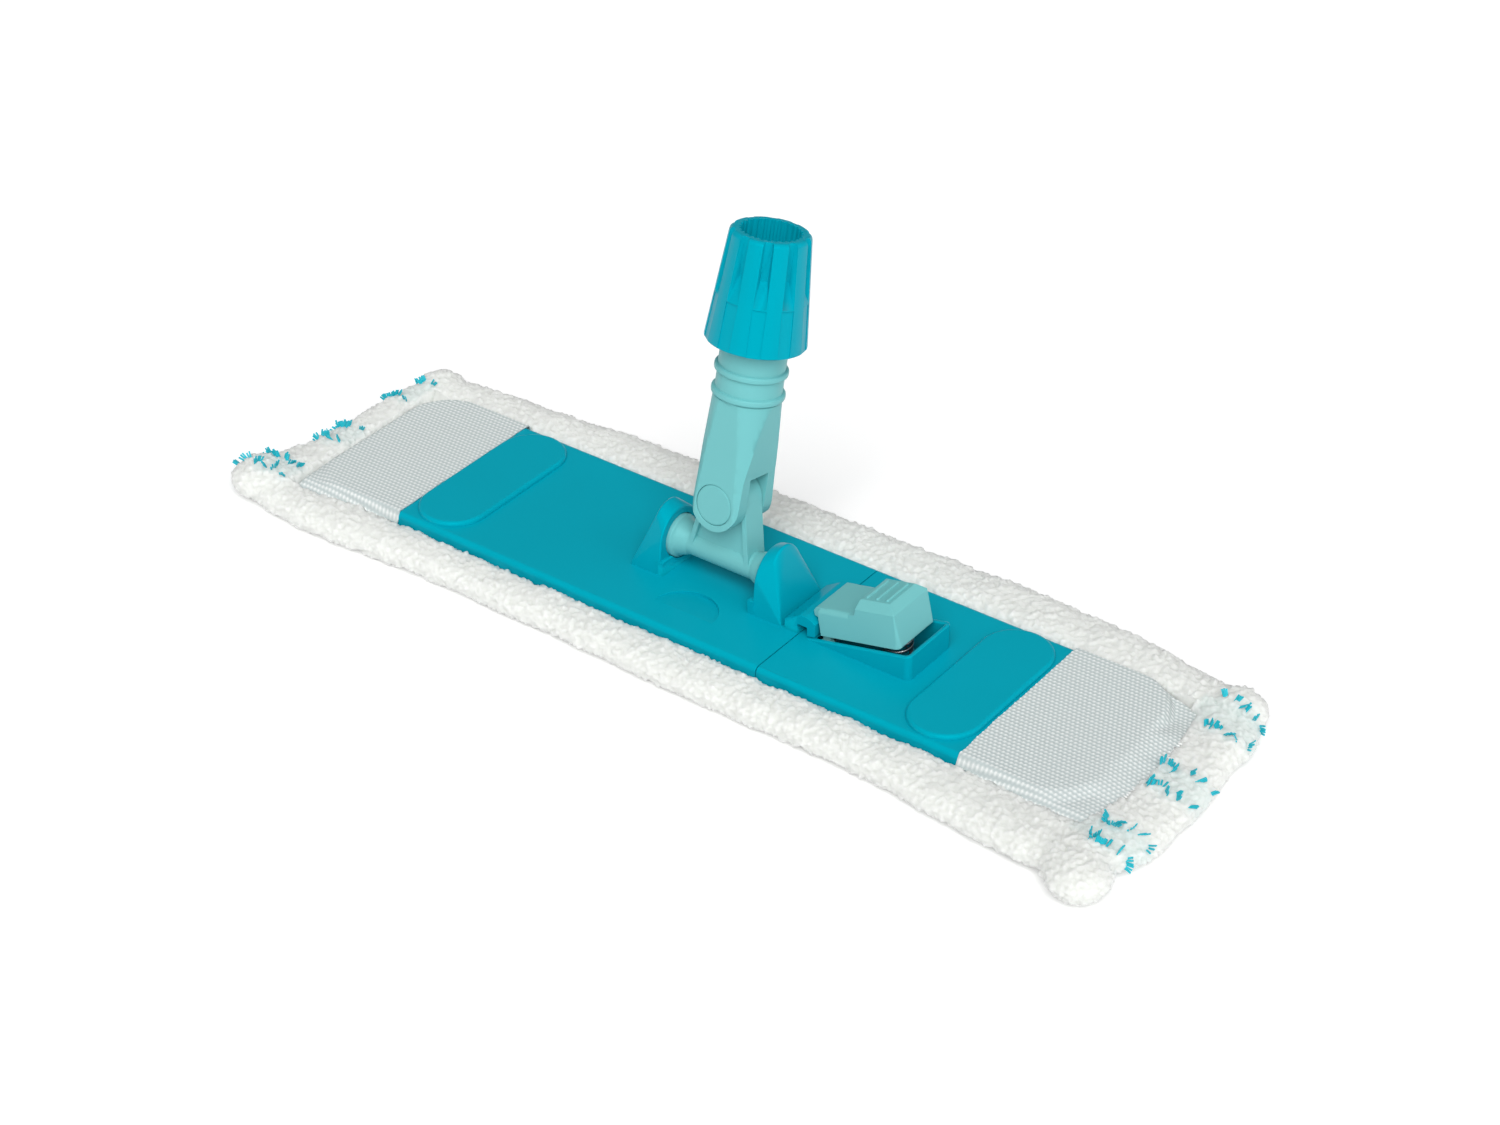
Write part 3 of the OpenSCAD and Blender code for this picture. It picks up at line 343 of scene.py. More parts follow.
def woven_backing(name, base):
    """Plain-woven polyester backing: an even over-and-under of threads 0.9 mm apart."""
    material, shader, coords = surface(name)
    shader.inputs["Base Color"].default_value = base
    # a wave texture of scale 1 has its bands 2 pi / 20 apart
    scale = 2 * math.pi / (0.9 * MM * 20)
    threads = [add(material, "ShaderNodeTexWave", {"bands_direction": axis},
                   {"Vector": coords, "Scale": scale, "Distortion": 0.4}) for axis in "XY"]
    weave = add(material, "ShaderNodeMath", {"operation": "MULTIPLY"},
                {0: threads[0].outputs["Fac"], 1: threads[1].outputs["Fac"]})
    bump = add(material, "ShaderNodeBump", None,
               {"Height": weave.outputs["Value"], "Strength": 0.6, "Distance": 0.2 * MM})
    link(material, bump.outputs["Normal"], shader.inputs["Normal"])
    rough = add(material, "ShaderNodeMapRange", None,
                {"Value": weave.outputs["Value"], "To Min": 0.9, "To Max": 0.75})
    link(material, rough.outputs["Result"], shader.inputs["Roughness"])
    return material


def nylon_strand(name, base):
    """Extruded nylon strips: smooth and slightly waxy, with paler streaks where they fray."""
    material, shader, coords = surface(name)
    # streaks some 1.2 mm across
    streak = add(material, "ShaderNodeTexNoise", None,
                 {"Vector": coords, "Scale": 1 / (1.2 * MM), "Detail": 2.0})
    pale = [min(1.0, c * 1.35 + 0.02) for c in base[:3]] + [1.0]
    shade = add(material, "ShaderNodeMix", {"data_type": "RGBA"},
                {"Factor": streak.outputs["Fac"], "A": base, "B": pale})
    link(material, shade.outputs["Result"], shader.inputs["Base Color"])
    shader.inputs["Roughness"].default_value = 0.45
    shader.inputs["Specular IOR Level"].default_value = 0.3
    return material


def studio_floor(name, base):
    """Seamless matt paper with a faint tooth, white to the camera and in reflections."""
    material, shader, coords = surface(name)
    path = add(material, "ShaderNodeLightPath")
    seen = path.outputs["Is Camera Ray"]
    for ray in ("Is Glossy Ray", "Is Transmission Ray"):
        seen = add(material, "ShaderNodeMath", {"operation": "MAXIMUM"},
                   {0: seen, 1: path.outputs[ray]}).outputs["Value"]
    lift = add(material, "ShaderNodeMath", {"operation": "MULTIPLY"}, {0: seen, 1: FLOOR_GLOW})
    link(material, lift.outputs["Value"], shader.inputs["Emission Strength"])
    # tooth of the paper, drawn at 2 mm so that it shows
    tooth = add(material, "ShaderNodeTexNoise", None,
                {"Vector": coords, "Scale": 1 / (2 * MM), "Detail": 1.0})
    rough = add(material, "ShaderNodeMapRange", None,
                {"Value": tooth.outputs["Fac"], "To Min": 0.9, "To Max": 1.0})
    link(material, rough.outputs["Result"], shader.inputs["Roughness"])
    shader.inputs["Base Color"].default_value = base
    shader.inputs["Specular IOR Level"].default_value = 0.0
    return material


FINISHES = {
    "teal": lambda: moulded_plastic("Moulded teal ABS", tone("teal"), tone("teal", 0.95),
                                    tone("teal_gloss"), 0.34, 0.25),
    "light_teal": lambda: moulded_plastic("Moulded light teal ABS", tone("light_teal"),
                                          tone("light_teal", 0.96), tone("light_gloss"),
                                          0.38, 0.25),
    "steel": lambda: drawn_steel("Drawn steel", tone("steel")),
    "pile": lambda: microfibre_pile("Cut microfibre pile", tone("pile"), tone("pile_valley_shade"),
                                    tone("pile_tint")),
    "mesh": lambda: knitted_mesh("Warp-knitted mesh", tone("knot"), tone("gap")),
    "backing": lambda: woven_backing("Woven backing", tone("backing")),
    "strand": lambda: nylon_strand("Nylon strand", tone("strand")),
    "floor": lambda: studio_floor("Studio paper", tone("floor")),
}
MADE = {}


def dress(piece, name):
    """Puts one finish, made once, on a whole piece."""
    if name not in MADE:
        MADE[name] = FINISHES[name]()
    piece.data.materials.clear()
    piece.data.materials.append(MADE[name])


# Modelling


def only(piece):
    """Selects one object alone and makes it active."""
    bpy.ops.object.select_all(action="DESELECT")
    piece.select_set(True)
    bpy.context.view_layer.objects.active = piece


def apply_modifier(piece, kind, **settings):
    """Adds a modifier with its settings and applies it."""
    only(piece)
    modifier = piece.modifiers.new(kind.title(), kind)
    for key, value in settings.items():
        setattr(modifier, key, value)
    bpy.ops.object.modifier_apply(modifier=modifier.name)


def points(piece):
    """The vertices of a mesh piece as an array, in metres."""
    co = np.empty(len(piece.data.vertices) * 3)
    piece.data.vertices.foreach_get("co", co)
    return co.reshape(-1, 3)


def move_points(piece, co):
    piece.data.vertices.foreach_set("co", np.ascontiguousarray(co, np.float32).ravel())
    piece.data.update()


def normals(piece):
    n = np.empty(len(piece.data.vertices) * 3)
    piece.data.vertex_normals.foreach_get("vector", n)
    return n.reshape(-1, 3)


def store(piece, name, values):
    """Keeps one number for each vertex as a named attribute."""
    attribute = piece.data.attributes.new(name, "FLOAT", "POINT")
    attribute.data.foreach_set("value", np.asarray(values, np.float32))


def new_piece(name, verts, faces):
    """A mesh piece from points in metres, its normals turned outwards."""
    mesh = bpy.data.meshes.new(name)
    mesh.from_pydata([tuple(v) for v in verts], [], faces)
    piece = bpy.data.objects.new(name, mesh)
    bpy.context.collection.objects.link(piece)
    only(piece)
    bpy.ops.object.mode_set(mode="EDIT")
    bpy.ops.mesh.select_all(action="SELECT")
    bpy.ops.mesh.normals_make_consistent(inside=False)
    bpy.ops.object.mode_set(mode="OBJECT")
    return piece


def stamp(pattern, place):
    """A copy of one small mesh, moved to its place."""
    copy = pattern.copy()
    copy.data = pattern.data.copy()
    copy.data.transform(place)
    bpy.context.collection.objects.link(copy)
    return copy


def join(parts, name):
    """Joins pieces to the first of them and names it."""
    only(parts[0])
    for part in parts:
        part.select_set(True)
    bpy.ops.object.join()
    piece = bpy.context.object
    piece.name = name
    return piece


def joined_runs(edges):
    """The edges in groups that share corners, each in a fixed order."""
    wanted, seen, groups = set(edges), set(), []
    for first in edges:
        if first in seen:
            continue
        seen.add(first)
        stack, group = [first], []
        while stack:
            edge = stack.pop()
            group.append(edge)
            for near in (e for v in edge.verts for e in v.link_edges):
                if near in wanted and near not in seen:
                    seen.add(near)
                    stack.append(near)
        groups.append(group)
    return groups


def rounded_copy(node, name, radius, finish_name, body, above=-1.0):
    """A copy of a CAD solid with its outer edges over one height rounded, standing for the node."""
    piece = bpy.data.objects.new(name, NODES[node].data.copy())
    bpy.context.collection.objects.link(piece)
    only(piece)
    bpy.ops.mesh.customdata_custom_splitnormals_clear()
    bpy.ops.object.mode_set(mode="EDIT")
    bpy.ops.mesh.select_all(action="SELECT")
    bpy.ops.mesh.remove_doubles(threshold=0.02 * MM)
    bpy.ops.mesh.dissolve_limited(angle_limit=math.radians(0.3))
    bpy.ops.object.mode_set(mode="OBJECT")
    bpy.ops.object.shade_smooth()
    bm = bmesh.new()
    bm.from_mesh(piece.data)
    width = {face: 2 * face.calc_area() / face.calc_perimeter() for face in bm.faces}
    outer = []
    for edge in bm.edges:
        if len(edge.link_faces) != 2:
            continue
        angle = math.degrees(edge.calc_face_angle())
        if angle > ROUND_FROM and edge.is_convex and min(v.co.z for v in edge.verts) > above:
            outer.append(edge)
        else:
            # flats cut into a round body meet it at a shallow edge that still shows, while the
            # faces of a rounding are narrow
            narrow, wide = sorted(width[face] for face in edge.link_faces)
            shallow = 3 if wide > 4 * MM else 13
            edge.smooth = angle < (shallow if narrow > 0.9 * MM else ROUND_FROM)
    # each group is rounded by itself, so that one narrow corner doesn't thin all the others
    for run in joined_runs(outer):
        bmesh.ops.bevel(bm, geom=run, offset=radius, offset_type="OFFSET", segments=2, profile=0.5,
                        affect="EDGES", clamp_overlap=True)
    bm.to_mesh(piece.data)
    bm.free()
    apply_modifier(piece, "WEIGHTED_NORMAL", keep_sharp=True, weight=50)
    dress(piece, finish_name)
    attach(piece, body)
    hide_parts(node)


def outwards(azimuth, elevation):
    """The direction from the object to a camera or lamp; azimuth 0 stands in front, at -Y."""
    a, e = math.radians(azimuth), math.radians(elevation)
    return Vector((math.sin(a) * math.cos(e), -math.cos(a) * math.cos(e), math.sin(e)))


def smooth_step(t):
    t = np.clip(t, 0.0, 1.0)
    return t * t * (3 - 2 * t)


def plate_distance(x, y):
    """Distance outside the plate's outline, negative on the plate, in metres."""
    qx = np.abs(x) - (PLATE_END - PLATE_ROUND)
    qy = np.abs(y) - (PLATE_SIDE - PLATE_ROUND)
    outside = np.hypot(np.maximum(qx, 0), np.maximum(qy, 0))
    return outside + np.minimum(np.maximum(qx, qy), 0) - PLATE_ROUND


def mesh_end(side, y):
    """How far the mesh reaches to its seam: on to the roll on the right, tucked in on the left."""
    if side > 0:
        return SEAM_RIGHT - SEAM_BOW * (y + 5 * MM) ** 2
    return SEAM_LEFT - SEAM_TUCK * smooth_step((y - 22 * MM) / (21 * MM))


def mesh_side(x, y):
    """Half width of the mesh: its front edge runs out over the pile and its rear one draws in."""
    spread = smooth_step((np.abs(x) - 147 * MM) / (50 * MM))
    drawn = smooth_step((np.abs(x) - 172 * MM) / (48 * MM))
    front = PLATE_SIDE + FRONT_LAP + FRONT_SPREAD * spread
    rear = PLATE_SIDE + REAR_LAP - REAR_DRAW * drawn
    return np.where(y < 0, front, rear)


def inside_mesh(side, x, y, margin):
    """Whether points lie under one pocket, inside its edge by the margin."""
    mouth = MOUTH_RIGHT if side > 0 else -MOUTH_LEFT
    along = (side * x > mouth) & (side * x < mesh_end(side, y) - margin)
    return along & (np.abs(y) < mesh_side(x, y) - margin)


def mesh_height(side, x, y):
    """Height of the mesh cloth: flat on the plate, then falling to the pile around the plate."""
    past, off = np.abs(x) - PLATE_END, plate_distance(x, y)
    lead, run = (0.5, 15) if side > 0 else (1.2, 7.5)
    end = END_FALL[side] * smooth_step((past + lead * MM) / (run * MM))
    flat = 43.5 * MM
    front = FRONT_FALL * smooth_step((-y - flat) / (mesh_side(x, -np.ones_like(y)) - flat))
    behind = smooth_step((y - 8 * MM) / (26 * MM))
    rear = REAR_FALL[side] * smooth_step((off + 0.2 * MM) / (4.4 * MM)) * behind
    by_corner = smooth_step((np.abs(y) - PLATE_SIDE + PLATE_ROUND) / (12 * MM))
    corner = CORNER_FALL * smooth_step((off + 1 * MM) / (8 * MM)) * by_corner
    fall = (end ** 3 + front ** 3 + rear ** 3 + corner ** 3) ** (1 / 3)
    return PLATE_TOP + MESH_OVER - fall * MM


# Operators


class MOP_OT_stage(bpy.types.Operator):
    """Pale floor, soft studio light and the photograph's camera"""
    bl_idname = "mop.stage"
    bl_label = "Stage"

    def execute(self, context):
        scene = context.scene
        scene.view_settings.view_transform = "Standard"
        bpy.ops.object.select_all(action="DESELECT")
        bpy.ops.mesh.primitive_plane_add(size=8.0, location=(0, 0, 0))
        floor = context.object
        floor.name = "studio_floor"
        dress(floor, "floor")
        world = bpy.data.worlds.new("Studio")
        world.use_nodes = True
        scene.world = world
        # the studio is bright on the camera's side and dims towards its back wall
        way = add(world, "ShaderNodeTexCoord").outputs["Generated"]
        facing = add(world, "ShaderNodeVectorMath", {"operation": "DOT_PRODUCT"},
                     {0: way, 1: outwards(*ROOM_SIDE)})
        glow = add(world, "ShaderNodeMapRange", None,
                   {"Value": facing.outputs["Value"], "From Min": -0.5, "From Max": 1.0,
                    "To Min": ROOM_DIM, "To Max": ROOM_BRIGHT})
        background = world.node_tree.nodes["Background"]
        background.inputs["Color"].default_value = (1, 1, 1, 1)
        link(world, glow.outputs["Result"], background.inputs["Strength"])
        target = Vector(VIEW_TARGET)
        for name, azimuth, elevation, strength, spread in LAMPS:
            toward = outwards(azimuth, elevation)
            bpy.ops.object.light_add(type="SUN", location=target + 2 * toward,
                                     rotation=toward.to_track_quat("Z", "Y").to_euler())
            lamp = context.object
            lamp.name = name + "_light"
            lamp.data.energy = strength
            lamp.data.angle = math.radians(spread)
        back = outwards(VIEW_AZIMUTH, VIEW_ELEVATION)
        bpy.ops.object.camera_add(location=target + VIEW_DISTANCE * back,
                                  rotation=back.to_track_quat("Z", "Y").to_euler())
        camera = context.object
        camera.name = "photo_camera"
        camera.data.lens = VIEW_LENS
        camera.data.sensor_width = SENSOR_WIDTH
        camera.data.clip_start = 0.05
        scene.camera = camera
        return {"FINISHED"}


class MOP_OT_plates(bpy.types.Operator):
    """The two plate halves with their lugs, keeper, raised pads and pedal box"""
    bl_idname = "mop.plates"
    bl_label = "Plates"

    def execute(self, context):
        halves = (("main_plate", "plate_main", "plate"), ("fold_plate", "plate_fold", "fold"))
        for node, name, body in halves:
            rounded_copy(node, name, sizes().plate_round, "teal", body,
                         above=PLATE_TOP - 0.1 * MM)
        dress(NODES["hinge_pin"], "steel")
        return {"FINISHED"}


class MOP_OT_joint(bpy.types.Operator):
    """The yoke, the pole socket and the knuckle pin with its cap"""
    bl_idname = "mop.joint"
    bl_label = "Universal joint"

    def execute(self, context):
        edge, fine = sizes().edge_round, sizes().fine_round
        for node, name, radius, body in (("yoke", "yoke_bar", edge, "yoke"),
                                         ("socket_sleeve", "pole_socket", edge, "socket"),
                                         ("knuckle_pin", "knuckle_bolt", fine, "socket"),
                                         ("knuckle_cap", "knuckle_button", fine, "socket")):
            rounded_copy(node, name, radius, "light_teal", body)
        return {"FINISHED"}


class MOP_OT_clamp(bpy.types.Operator):
    """The fluted clamp nut and the split ring inside it"""
    bl_idname = "mop.clamp"
    bl_label = "Pole clamp"

    def execute(self, context):
        rounded_copy("clamp_nut", "fluted_nut", sizes().fine_round, "teal", "nut")
        dress(NODES["collet"], "light_teal")
        return {"FINISHED"}


class MOP_OT_pedal(bpy.types.Operator):
    """The release pedal, its pin and its return spring"""
    bl_idname = "mop.pedal"
    bl_label = "Release pedal"

    turns: number("Turns", "Turns of the return spring", 7, 3, 12)
    steps: number("Steps", "Points in one turn", 20, 8, 40)

    def execute(self, context):
        rounded_copy("release_pedal", "press_pedal", sizes().plate_round, "light_teal",
                     "pedal")
        dress(NODES["pedal_pin"], "steel")
        low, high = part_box("pedal_spring")
        wire = sizes().wire
        middle = (low + high) / 2
        reach = (high.x - low.x) / 2 - wire
        count = self.turns * self.steps
        curve = bpy.data.curves.new("return_spring", "CURVE")
        curve.dimensions = "3D"
        curve.bevel_depth = wire
        curve.bevel_resolution = 3
        curve.use_fill_caps = True
        spline = curve.splines.new("POLY")
        spline.points.add(count)
        for i in range(count + 1):
            angle = 2 * math.pi * i / self.steps
            # the end turns lie closer together than the others
            t = float(smooth_step((i / count - 0.06) / 0.88)) * 0.5 + 0.5 * i / count
            spline.points[i].co = (middle.x + reach * math.cos(angle),
                                   middle.y + reach * math.sin(angle),
                                   low.z + wire + (high.z - low.z - 2 * wire) * t, 1)
        spring = bpy.data.objects.new("return_spring", curve)
        context.collection.objects.link(spring)
        only(spring)
        bpy.ops.object.convert(target="MESH")
        spring = context.object
        bpy.ops.object.shade_smooth()
        dress(spring, "steel")
        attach(spring, "fold")
        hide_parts("pedal_spring")
        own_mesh(spring)
        return {"FINISHED"}


class MOP_OT_pad(bpy.types.Operator):
    """The pile pad: a slab under the plate and a deep edge roll with puffy corners"""
    bl_idname = "mop.pad"
    bl_label = "Pile pad"

    voxel: length("Voxel", "Grid of the pad's skin before its outside is divided", 1.4)

    def execute(self, context):
        verts, faces = self.roll()
        pad = new_piece("pile_pad", verts, faces)
        half_x, half_y = PLATE_END + 10 * MM, PLATE_SIDE + 5 * MM
        bpy.ops.object.select_all(action="DESELECT")
        bpy.ops.mesh.primitive_cube_add(size=1, location=(0, 0, (PAD_FLOOR + SLAB_TOP) / 2),
                                        scale=(2 * half_x, 2 * half_y, SLAB_TOP - PAD_FLOOR))
        bodies = [context.object]
        for x, y, radius, high in PAD_LOBES:
            bpy.ops.mesh.primitive_uv_sphere_add(
                segments=32, ring_count=16, radius=1,
                location=(x * MM, y * MM, PAD_FLOOR + high / 2 * MM),
                scale=(radius * MM, radius * MM, high / 2 * MM))
            bodies.append(context.object)
        for body in bodies:
            only(body)
            bpy.ops.object.transform_apply(location=True, rotation=True, scale=True)
        pad = join([pad, *bodies], "pile_pad")
        apply_modifier(pad, "REMESH", mode="VOXEL", voxel_size=self.voxel)
        apply_modifier(pad, "SMOOTH", factor=0.5, iterations=18)
        self.divide_outside(pad)
        self.grow_pile(pad)
        bpy.ops.object.shade_smooth()
        dress(pad, "pile")
        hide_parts("pad_main", "pad_fold")
        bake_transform(pad)
        return {"FINISHED"}

    def roll(self, per_span=16, ring=28):
        """Points and faces of the edge roll, swept along a closed curve through its sizes."""
        knots = [np.array(k) * MM for k in PAD_ROLL]
        n = len(knots)
        path = []
        for i in range(n):
            p0, p1, p2, p3 = (knots[(i + k - 1) % n] for k in range(4))
            for j in range(per_span):
                t = j / per_span
                path.append(0.5 * (2 * p1 + (p2 - p0) * t
                                   + (2 * p0 - 5 * p1 + 4 * p2 - p3) * t * t
                                   + (3 * p1 - p0 - 3 * p2 + p3) * t ** 3))
        path = np.array(path)
        tangent = np.roll(path, -1, 0)[:, :2] - np.roll(path, 1, 0)[:, :2]
        tangent /= np.linalg.norm(tangent, axis=1)[:, None]
        outward = np.stack([tangent[:, 1], -tangent[:, 0]], 1)
        verts, faces = [], []
        for (x, y, half, high), out in zip(path, outward):
            for k in range(ring):
                a = 2 * math.pi * k / ring
                c, s = math.cos(a), math.sin(a)
                # full against the plate, rounder on the outside
                power = 2 / (2.3 if c > 0 else 3.6)
                across = half * math.copysign(abs(c) ** power, c)
                up = high / 2 * math.copysign(abs(s) ** power, s)
                verts.append((x + out[0] * across, y + out[1] * across,
                              PAD_FLOOR + high / 2 + up))
        m = len(path)
        for i in range(m):
            for k in range(ring):
                a, b = i * ring + k, i * ring + (k + 1) % ring
                c, d = ((i + 1) % m) * ring + (k + 1) % ring, ((i + 1) % m) * ring + k
                faces.append((a, b, c, d))
        return verts, faces

    def divide_outside(self, pad):
        """Divides the faces of the roll that show, where the pile needs its relief."""
        only(pad)
        bpy.ops.object.mode_set(mode="EDIT")
        bm = bmesh.from_edit_mesh(pad.data)
        for face in bm.faces:
            c = face.calc_center_median()
            on_plate = abs(c.x) < PLATE_END and abs(c.y) < PLATE_SIDE
            face.select_set(not on_plate and (c.z > 1.2 * MM or face.normal.z > -0.5))
        bmesh.update_edit_mesh(pad.data)
        bpy.ops.mesh.subdivide(number_cuts=1, smoothness=0)
        bpy.ops.object.mode_set(mode="OBJECT")

    def grow_pile(self, pad):
        """Raises the clumps of the pile, and keeps them off the floor, plate and mesh."""
        clump, depth = sizes().pile_clump, sizes().pile_depth
        co, normal = points(pad), normals(pad)
        height = np.empty(len(co))
        lumps = np.empty(len(co))
        for i, p in enumerate(co):
            v = Vector(p)
            distances, seeds = noise.voronoi(v / clump)
            # some clumps stand taller than others
            taller = 1 + 0.9 * noise.noise(seeds[0] * 5.3)
            height[i] = (1 - min(1.0, distances[0] / 0.75) ** 2) * taller
            lumps[i] = sum(share * noise.noise(v / (width * MM)) for share, width in PILE_LUMPS)
        x, y, z = co.T
        on_plate = (np.abs(x) < PLATE_END + 4 * MM) & (np.abs(y) < PLATE_SIDE - 0.5 * MM)
        lift = depth * (height - 0.4) + LUMP_HEIGHT * lumps
        co = co + normal * np.where(on_plate & (z > 3.5 * MM), 0.0, lift)[:, None]
        x, y, z = co.T
        # clear of the plate's walls and the cloth under it
        inside = (np.abs(x) < PLATE_END + 5 * MM) & (np.abs(y) < PLATE_SIDE + 0.2 * MM)
        near_wall = np.abs(y) > PLATE_SIDE - 2.5 * MM
        push = inside & near_wall & (z > SLAB_TOP)
        co[push, 1] = np.sign(y[push]) * (PLATE_SIDE + 0.25 * MM)
        press = inside & ~near_wall
        co[press, 2] = np.minimum(co[press, 2], SLAB_TOP)
        # clear of the mesh cloth
        x, y, z = co.T
        for side in (-1, 1):
            under = inside_mesh(side, x, y, 1.2 * MM)
            top = mesh_height(side, x[under], y[under]) - 0.6 * MM
            co[under, 2] = np.minimum(z[under], top)
        co[:, 2] = np.maximum(co[:, 2], PAD_FLOOR)
        move_points(pad, co)
        # the height also greys the pile's valleys with painted shade
        store(pad, "pile_height", np.clip(height * 1.15, 0, 1))
        store(pad, "scrub_band", self.band(co))

    def band(self, co):
        """How far a point lies in the tinted pile between two scrub rows."""
        x, y, _ = co.T
        share = np.zeros(len(co))
        for rows, side in ((ROWS_RIGHT, x > 0), (ROWS_LEFT, x < 0)):
            for low, high in zip(rows[0::2], rows[1::2]):
                middle, half = (low + high) / 2 * MM, (high - low) / 2 * MM
                within = 1 - smooth_step((np.abs(y - middle) - half + 3 * MM) / (5 * MM))
                share = np.maximum(share, np.where(side, within, 0))
        return share * smooth_step((np.abs(x) - PLATE_END - 4 * MM) / (4 * MM)) * BAND_TINT


class MOP_OT_backing(bpy.types.Operator):
    """The woven backing cloth between the pile and the plate"""
    bl_idname = "mop.backing"
    bl_label = "Backing cloth"

    cell: length("Cell", "Grid of the cloth", 4.0)

    def execute(self, context):
        low, high = BACKING_LOW, BACKING_HIGH
        span = high - low
        bpy.ops.object.select_all(action="DESELECT")
        bpy.ops.mesh.primitive_grid_add(x_subdivisions=round(span.x / self.cell),
                                        y_subdivisions=round(span.y / self.cell), size=1,
                                        location=(low + high) / 2)
        cloth = context.object
        cloth.name = "backing_cloth"
        bpy.ops.transform.resize(value=(span.x, span.y, 1))
        bpy.ops.object.transform_apply(location=True, rotation=True, scale=True)
        co = points(cloth)
        for i, p in enumerate(co):
            co[i, 2] += 0.05 * MM * noise.noise(Vector(p) / (9 * MM))
        move_points(cloth, co)
        apply_modifier(cloth, "SOLIDIFY", thickness=sizes().backing_thick, offset=0)
        bpy.ops.object.shade_smooth_by_angle(angle=math.radians(40))
        dress(cloth, "backing")
        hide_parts("backing_main", "backing_fold")
        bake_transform(cloth)
        return {"FINISHED"}


class MOP_OT_pockets(bpy.types.Operator):
    """The two mesh pockets drawn over the plate's ends"""
    bl_idname = "mop.pockets"
    bl_label = "Mesh pockets"

    cell: length("Cell", "Grid of the mesh cloth", 0.5)

    def execute(self, context):
        pockets = ((-1, -MOUTH_LEFT, "pocket_left", "plate", "plate_main"),
                   (1, MOUTH_RIGHT, "pocket_right", "fold", "plate_fold"))
        for side, mouth, node, body, rests in pockets:
            self.pocket(context, side, mouth, node, body, rests)
        return {"FINISHED"}

    def pocket(self, context, side, mouth, node, body, rests):
        """One pocket: a flat grid laid over the plate's end, knitted and sewn down."""
        long = mesh_end(side, 0.0) - mouth
        wide = 2 * PLATE_SIDE + MESH_TURN_DOWN
        bpy.ops.object.select_all(action="DESELECT")
        bpy.ops.mesh.primitive_grid_add(x_subdivisions=round(long / self.cell),
                                        y_subdivisions=round(wide / self.cell), size=1)
        cloth = context.object
        cloth.name = node.replace("pocket", "mesh_pocket")
        co = points(cloth)
        u, v = co[:, 0] + 0.5, co[:, 1] * 2
        x = mouth + long * u
        y = v * mesh_side(x, v)
        x = mouth + (mesh_end(side, y) - mouth) * u
        y = v * mesh_side(x, v)
        # the cut edge at the mouth wanders a little
        wander = np.array([noise.noise(Vector((p / (11 * MM), side * 7.0, 0))) for p in y])
        x = x + wander * 0.7 * MM * (1 - u) ** 4
        z = mesh_height(side, x, y)
        knot = self.knots(x, y)
        slack = np.array([noise.noise(Vector((a, b, 3 * side * MM)) / (17 * MM))
                          for a, b in zip(x, y)])
        slack *= 0.35 * MM * smooth_step((plate_distance(x, y) + 1 * MM) / (3 * MM))
        z = z + slack + sizes().knit_relief * (knot - 0.4)
        move_points(cloth, np.stack([side * x, y, z], 1))
        # the knit's height also greys its gaps with painted shade
        store(cloth, "knit_height", knot)
        if side < 0:
            only(cloth)
            bpy.ops.object.mode_set(mode="EDIT")
            bpy.ops.mesh.select_all(action="SELECT")
            bpy.ops.mesh.flip_normals()
            bpy.ops.object.mode_set(mode="OBJECT")
        apply_modifier(cloth, "SOLIDIFY", thickness=sizes().mesh_thick, offset=0)
        bpy.ops.object.shade_smooth_by_angle(angle=math.radians(60))
        dress(cloth, "mesh")
        seam = self.overlock(context, side, node, body)
        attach(cloth, body)
        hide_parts(node)

    def overlock(self, context, side, node, body):
        """The row of short stitches that whips the mesh's end to the pile."""
        bpy.ops.object.select_all(action="DESELECT")
        bpy.ops.mesh.primitive_uv_sphere_add(segments=6, ring_count=4, radius=0.5)
        stitch = context.object
        bpy.ops.transform.resize(value=(2.2 * MM, 0.8 * MM, 0.7 * MM))
        bpy.ops.object.transform_apply(location=True, rotation=True, scale=True)
        rng = random.Random(3 + side)
        low, high = -PLATE_SIDE - 3 * MM, PLATE_SIDE + 0.5 * MM
        count = round((high - low) / sizes().stitch_pitch)
        parts = []
        for i in range(count):
            y = low + (high - low) * (i + 0.5) / count
            x = float(mesh_end(side, y)) - rng.uniform(0.2, 0.6) * MM
            ends = mesh_height(side, np.array([x - 1 * MM, x + 1 * MM]), np.array([y, y]))
            slope = math.atan2(ends[1] - ends[0], 2 * MM)
            place = Matrix.Translation((side * x, y, sum(ends) / 2 + 0.35 * MM))
            twist = Matrix.Rotation(rng.uniform(-0.25, 0.25), 4, "Z")
            parts.append(stamp(stitch, place @ Matrix.Rotation(-side * slope, 4, "Y") @ twist))
        bpy.data.objects.remove(stitch)
        seam = join(parts, node.replace("pocket", "overlock"))
        bpy.ops.object.shade_smooth()
        store(seam, "knit_height", np.ones(len(seam.data.vertices)))
        dress(seam, "mesh")
        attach(seam, body)
        return seam

    def knots(self, x, y):
        """Relief of the knit, 0 between the knots and 1 on a knot; every second row is half a knot
        along.
        """
        row = np.floor(y / sizes().knit_across)
        v = y / sizes().knit_across - row - 0.5
        u = x / sizes().knit_along + 0.5 * (row % 2)
        u = u - np.floor(u) - 0.5
        knot = np.exp(-(u / 0.30) ** 2 - (v / 0.27) ** 2)
        bridge = 0.45 * np.exp(-(v / 0.16) ** 2)
        return np.clip(np.maximum(knot, bridge), 0, 1)


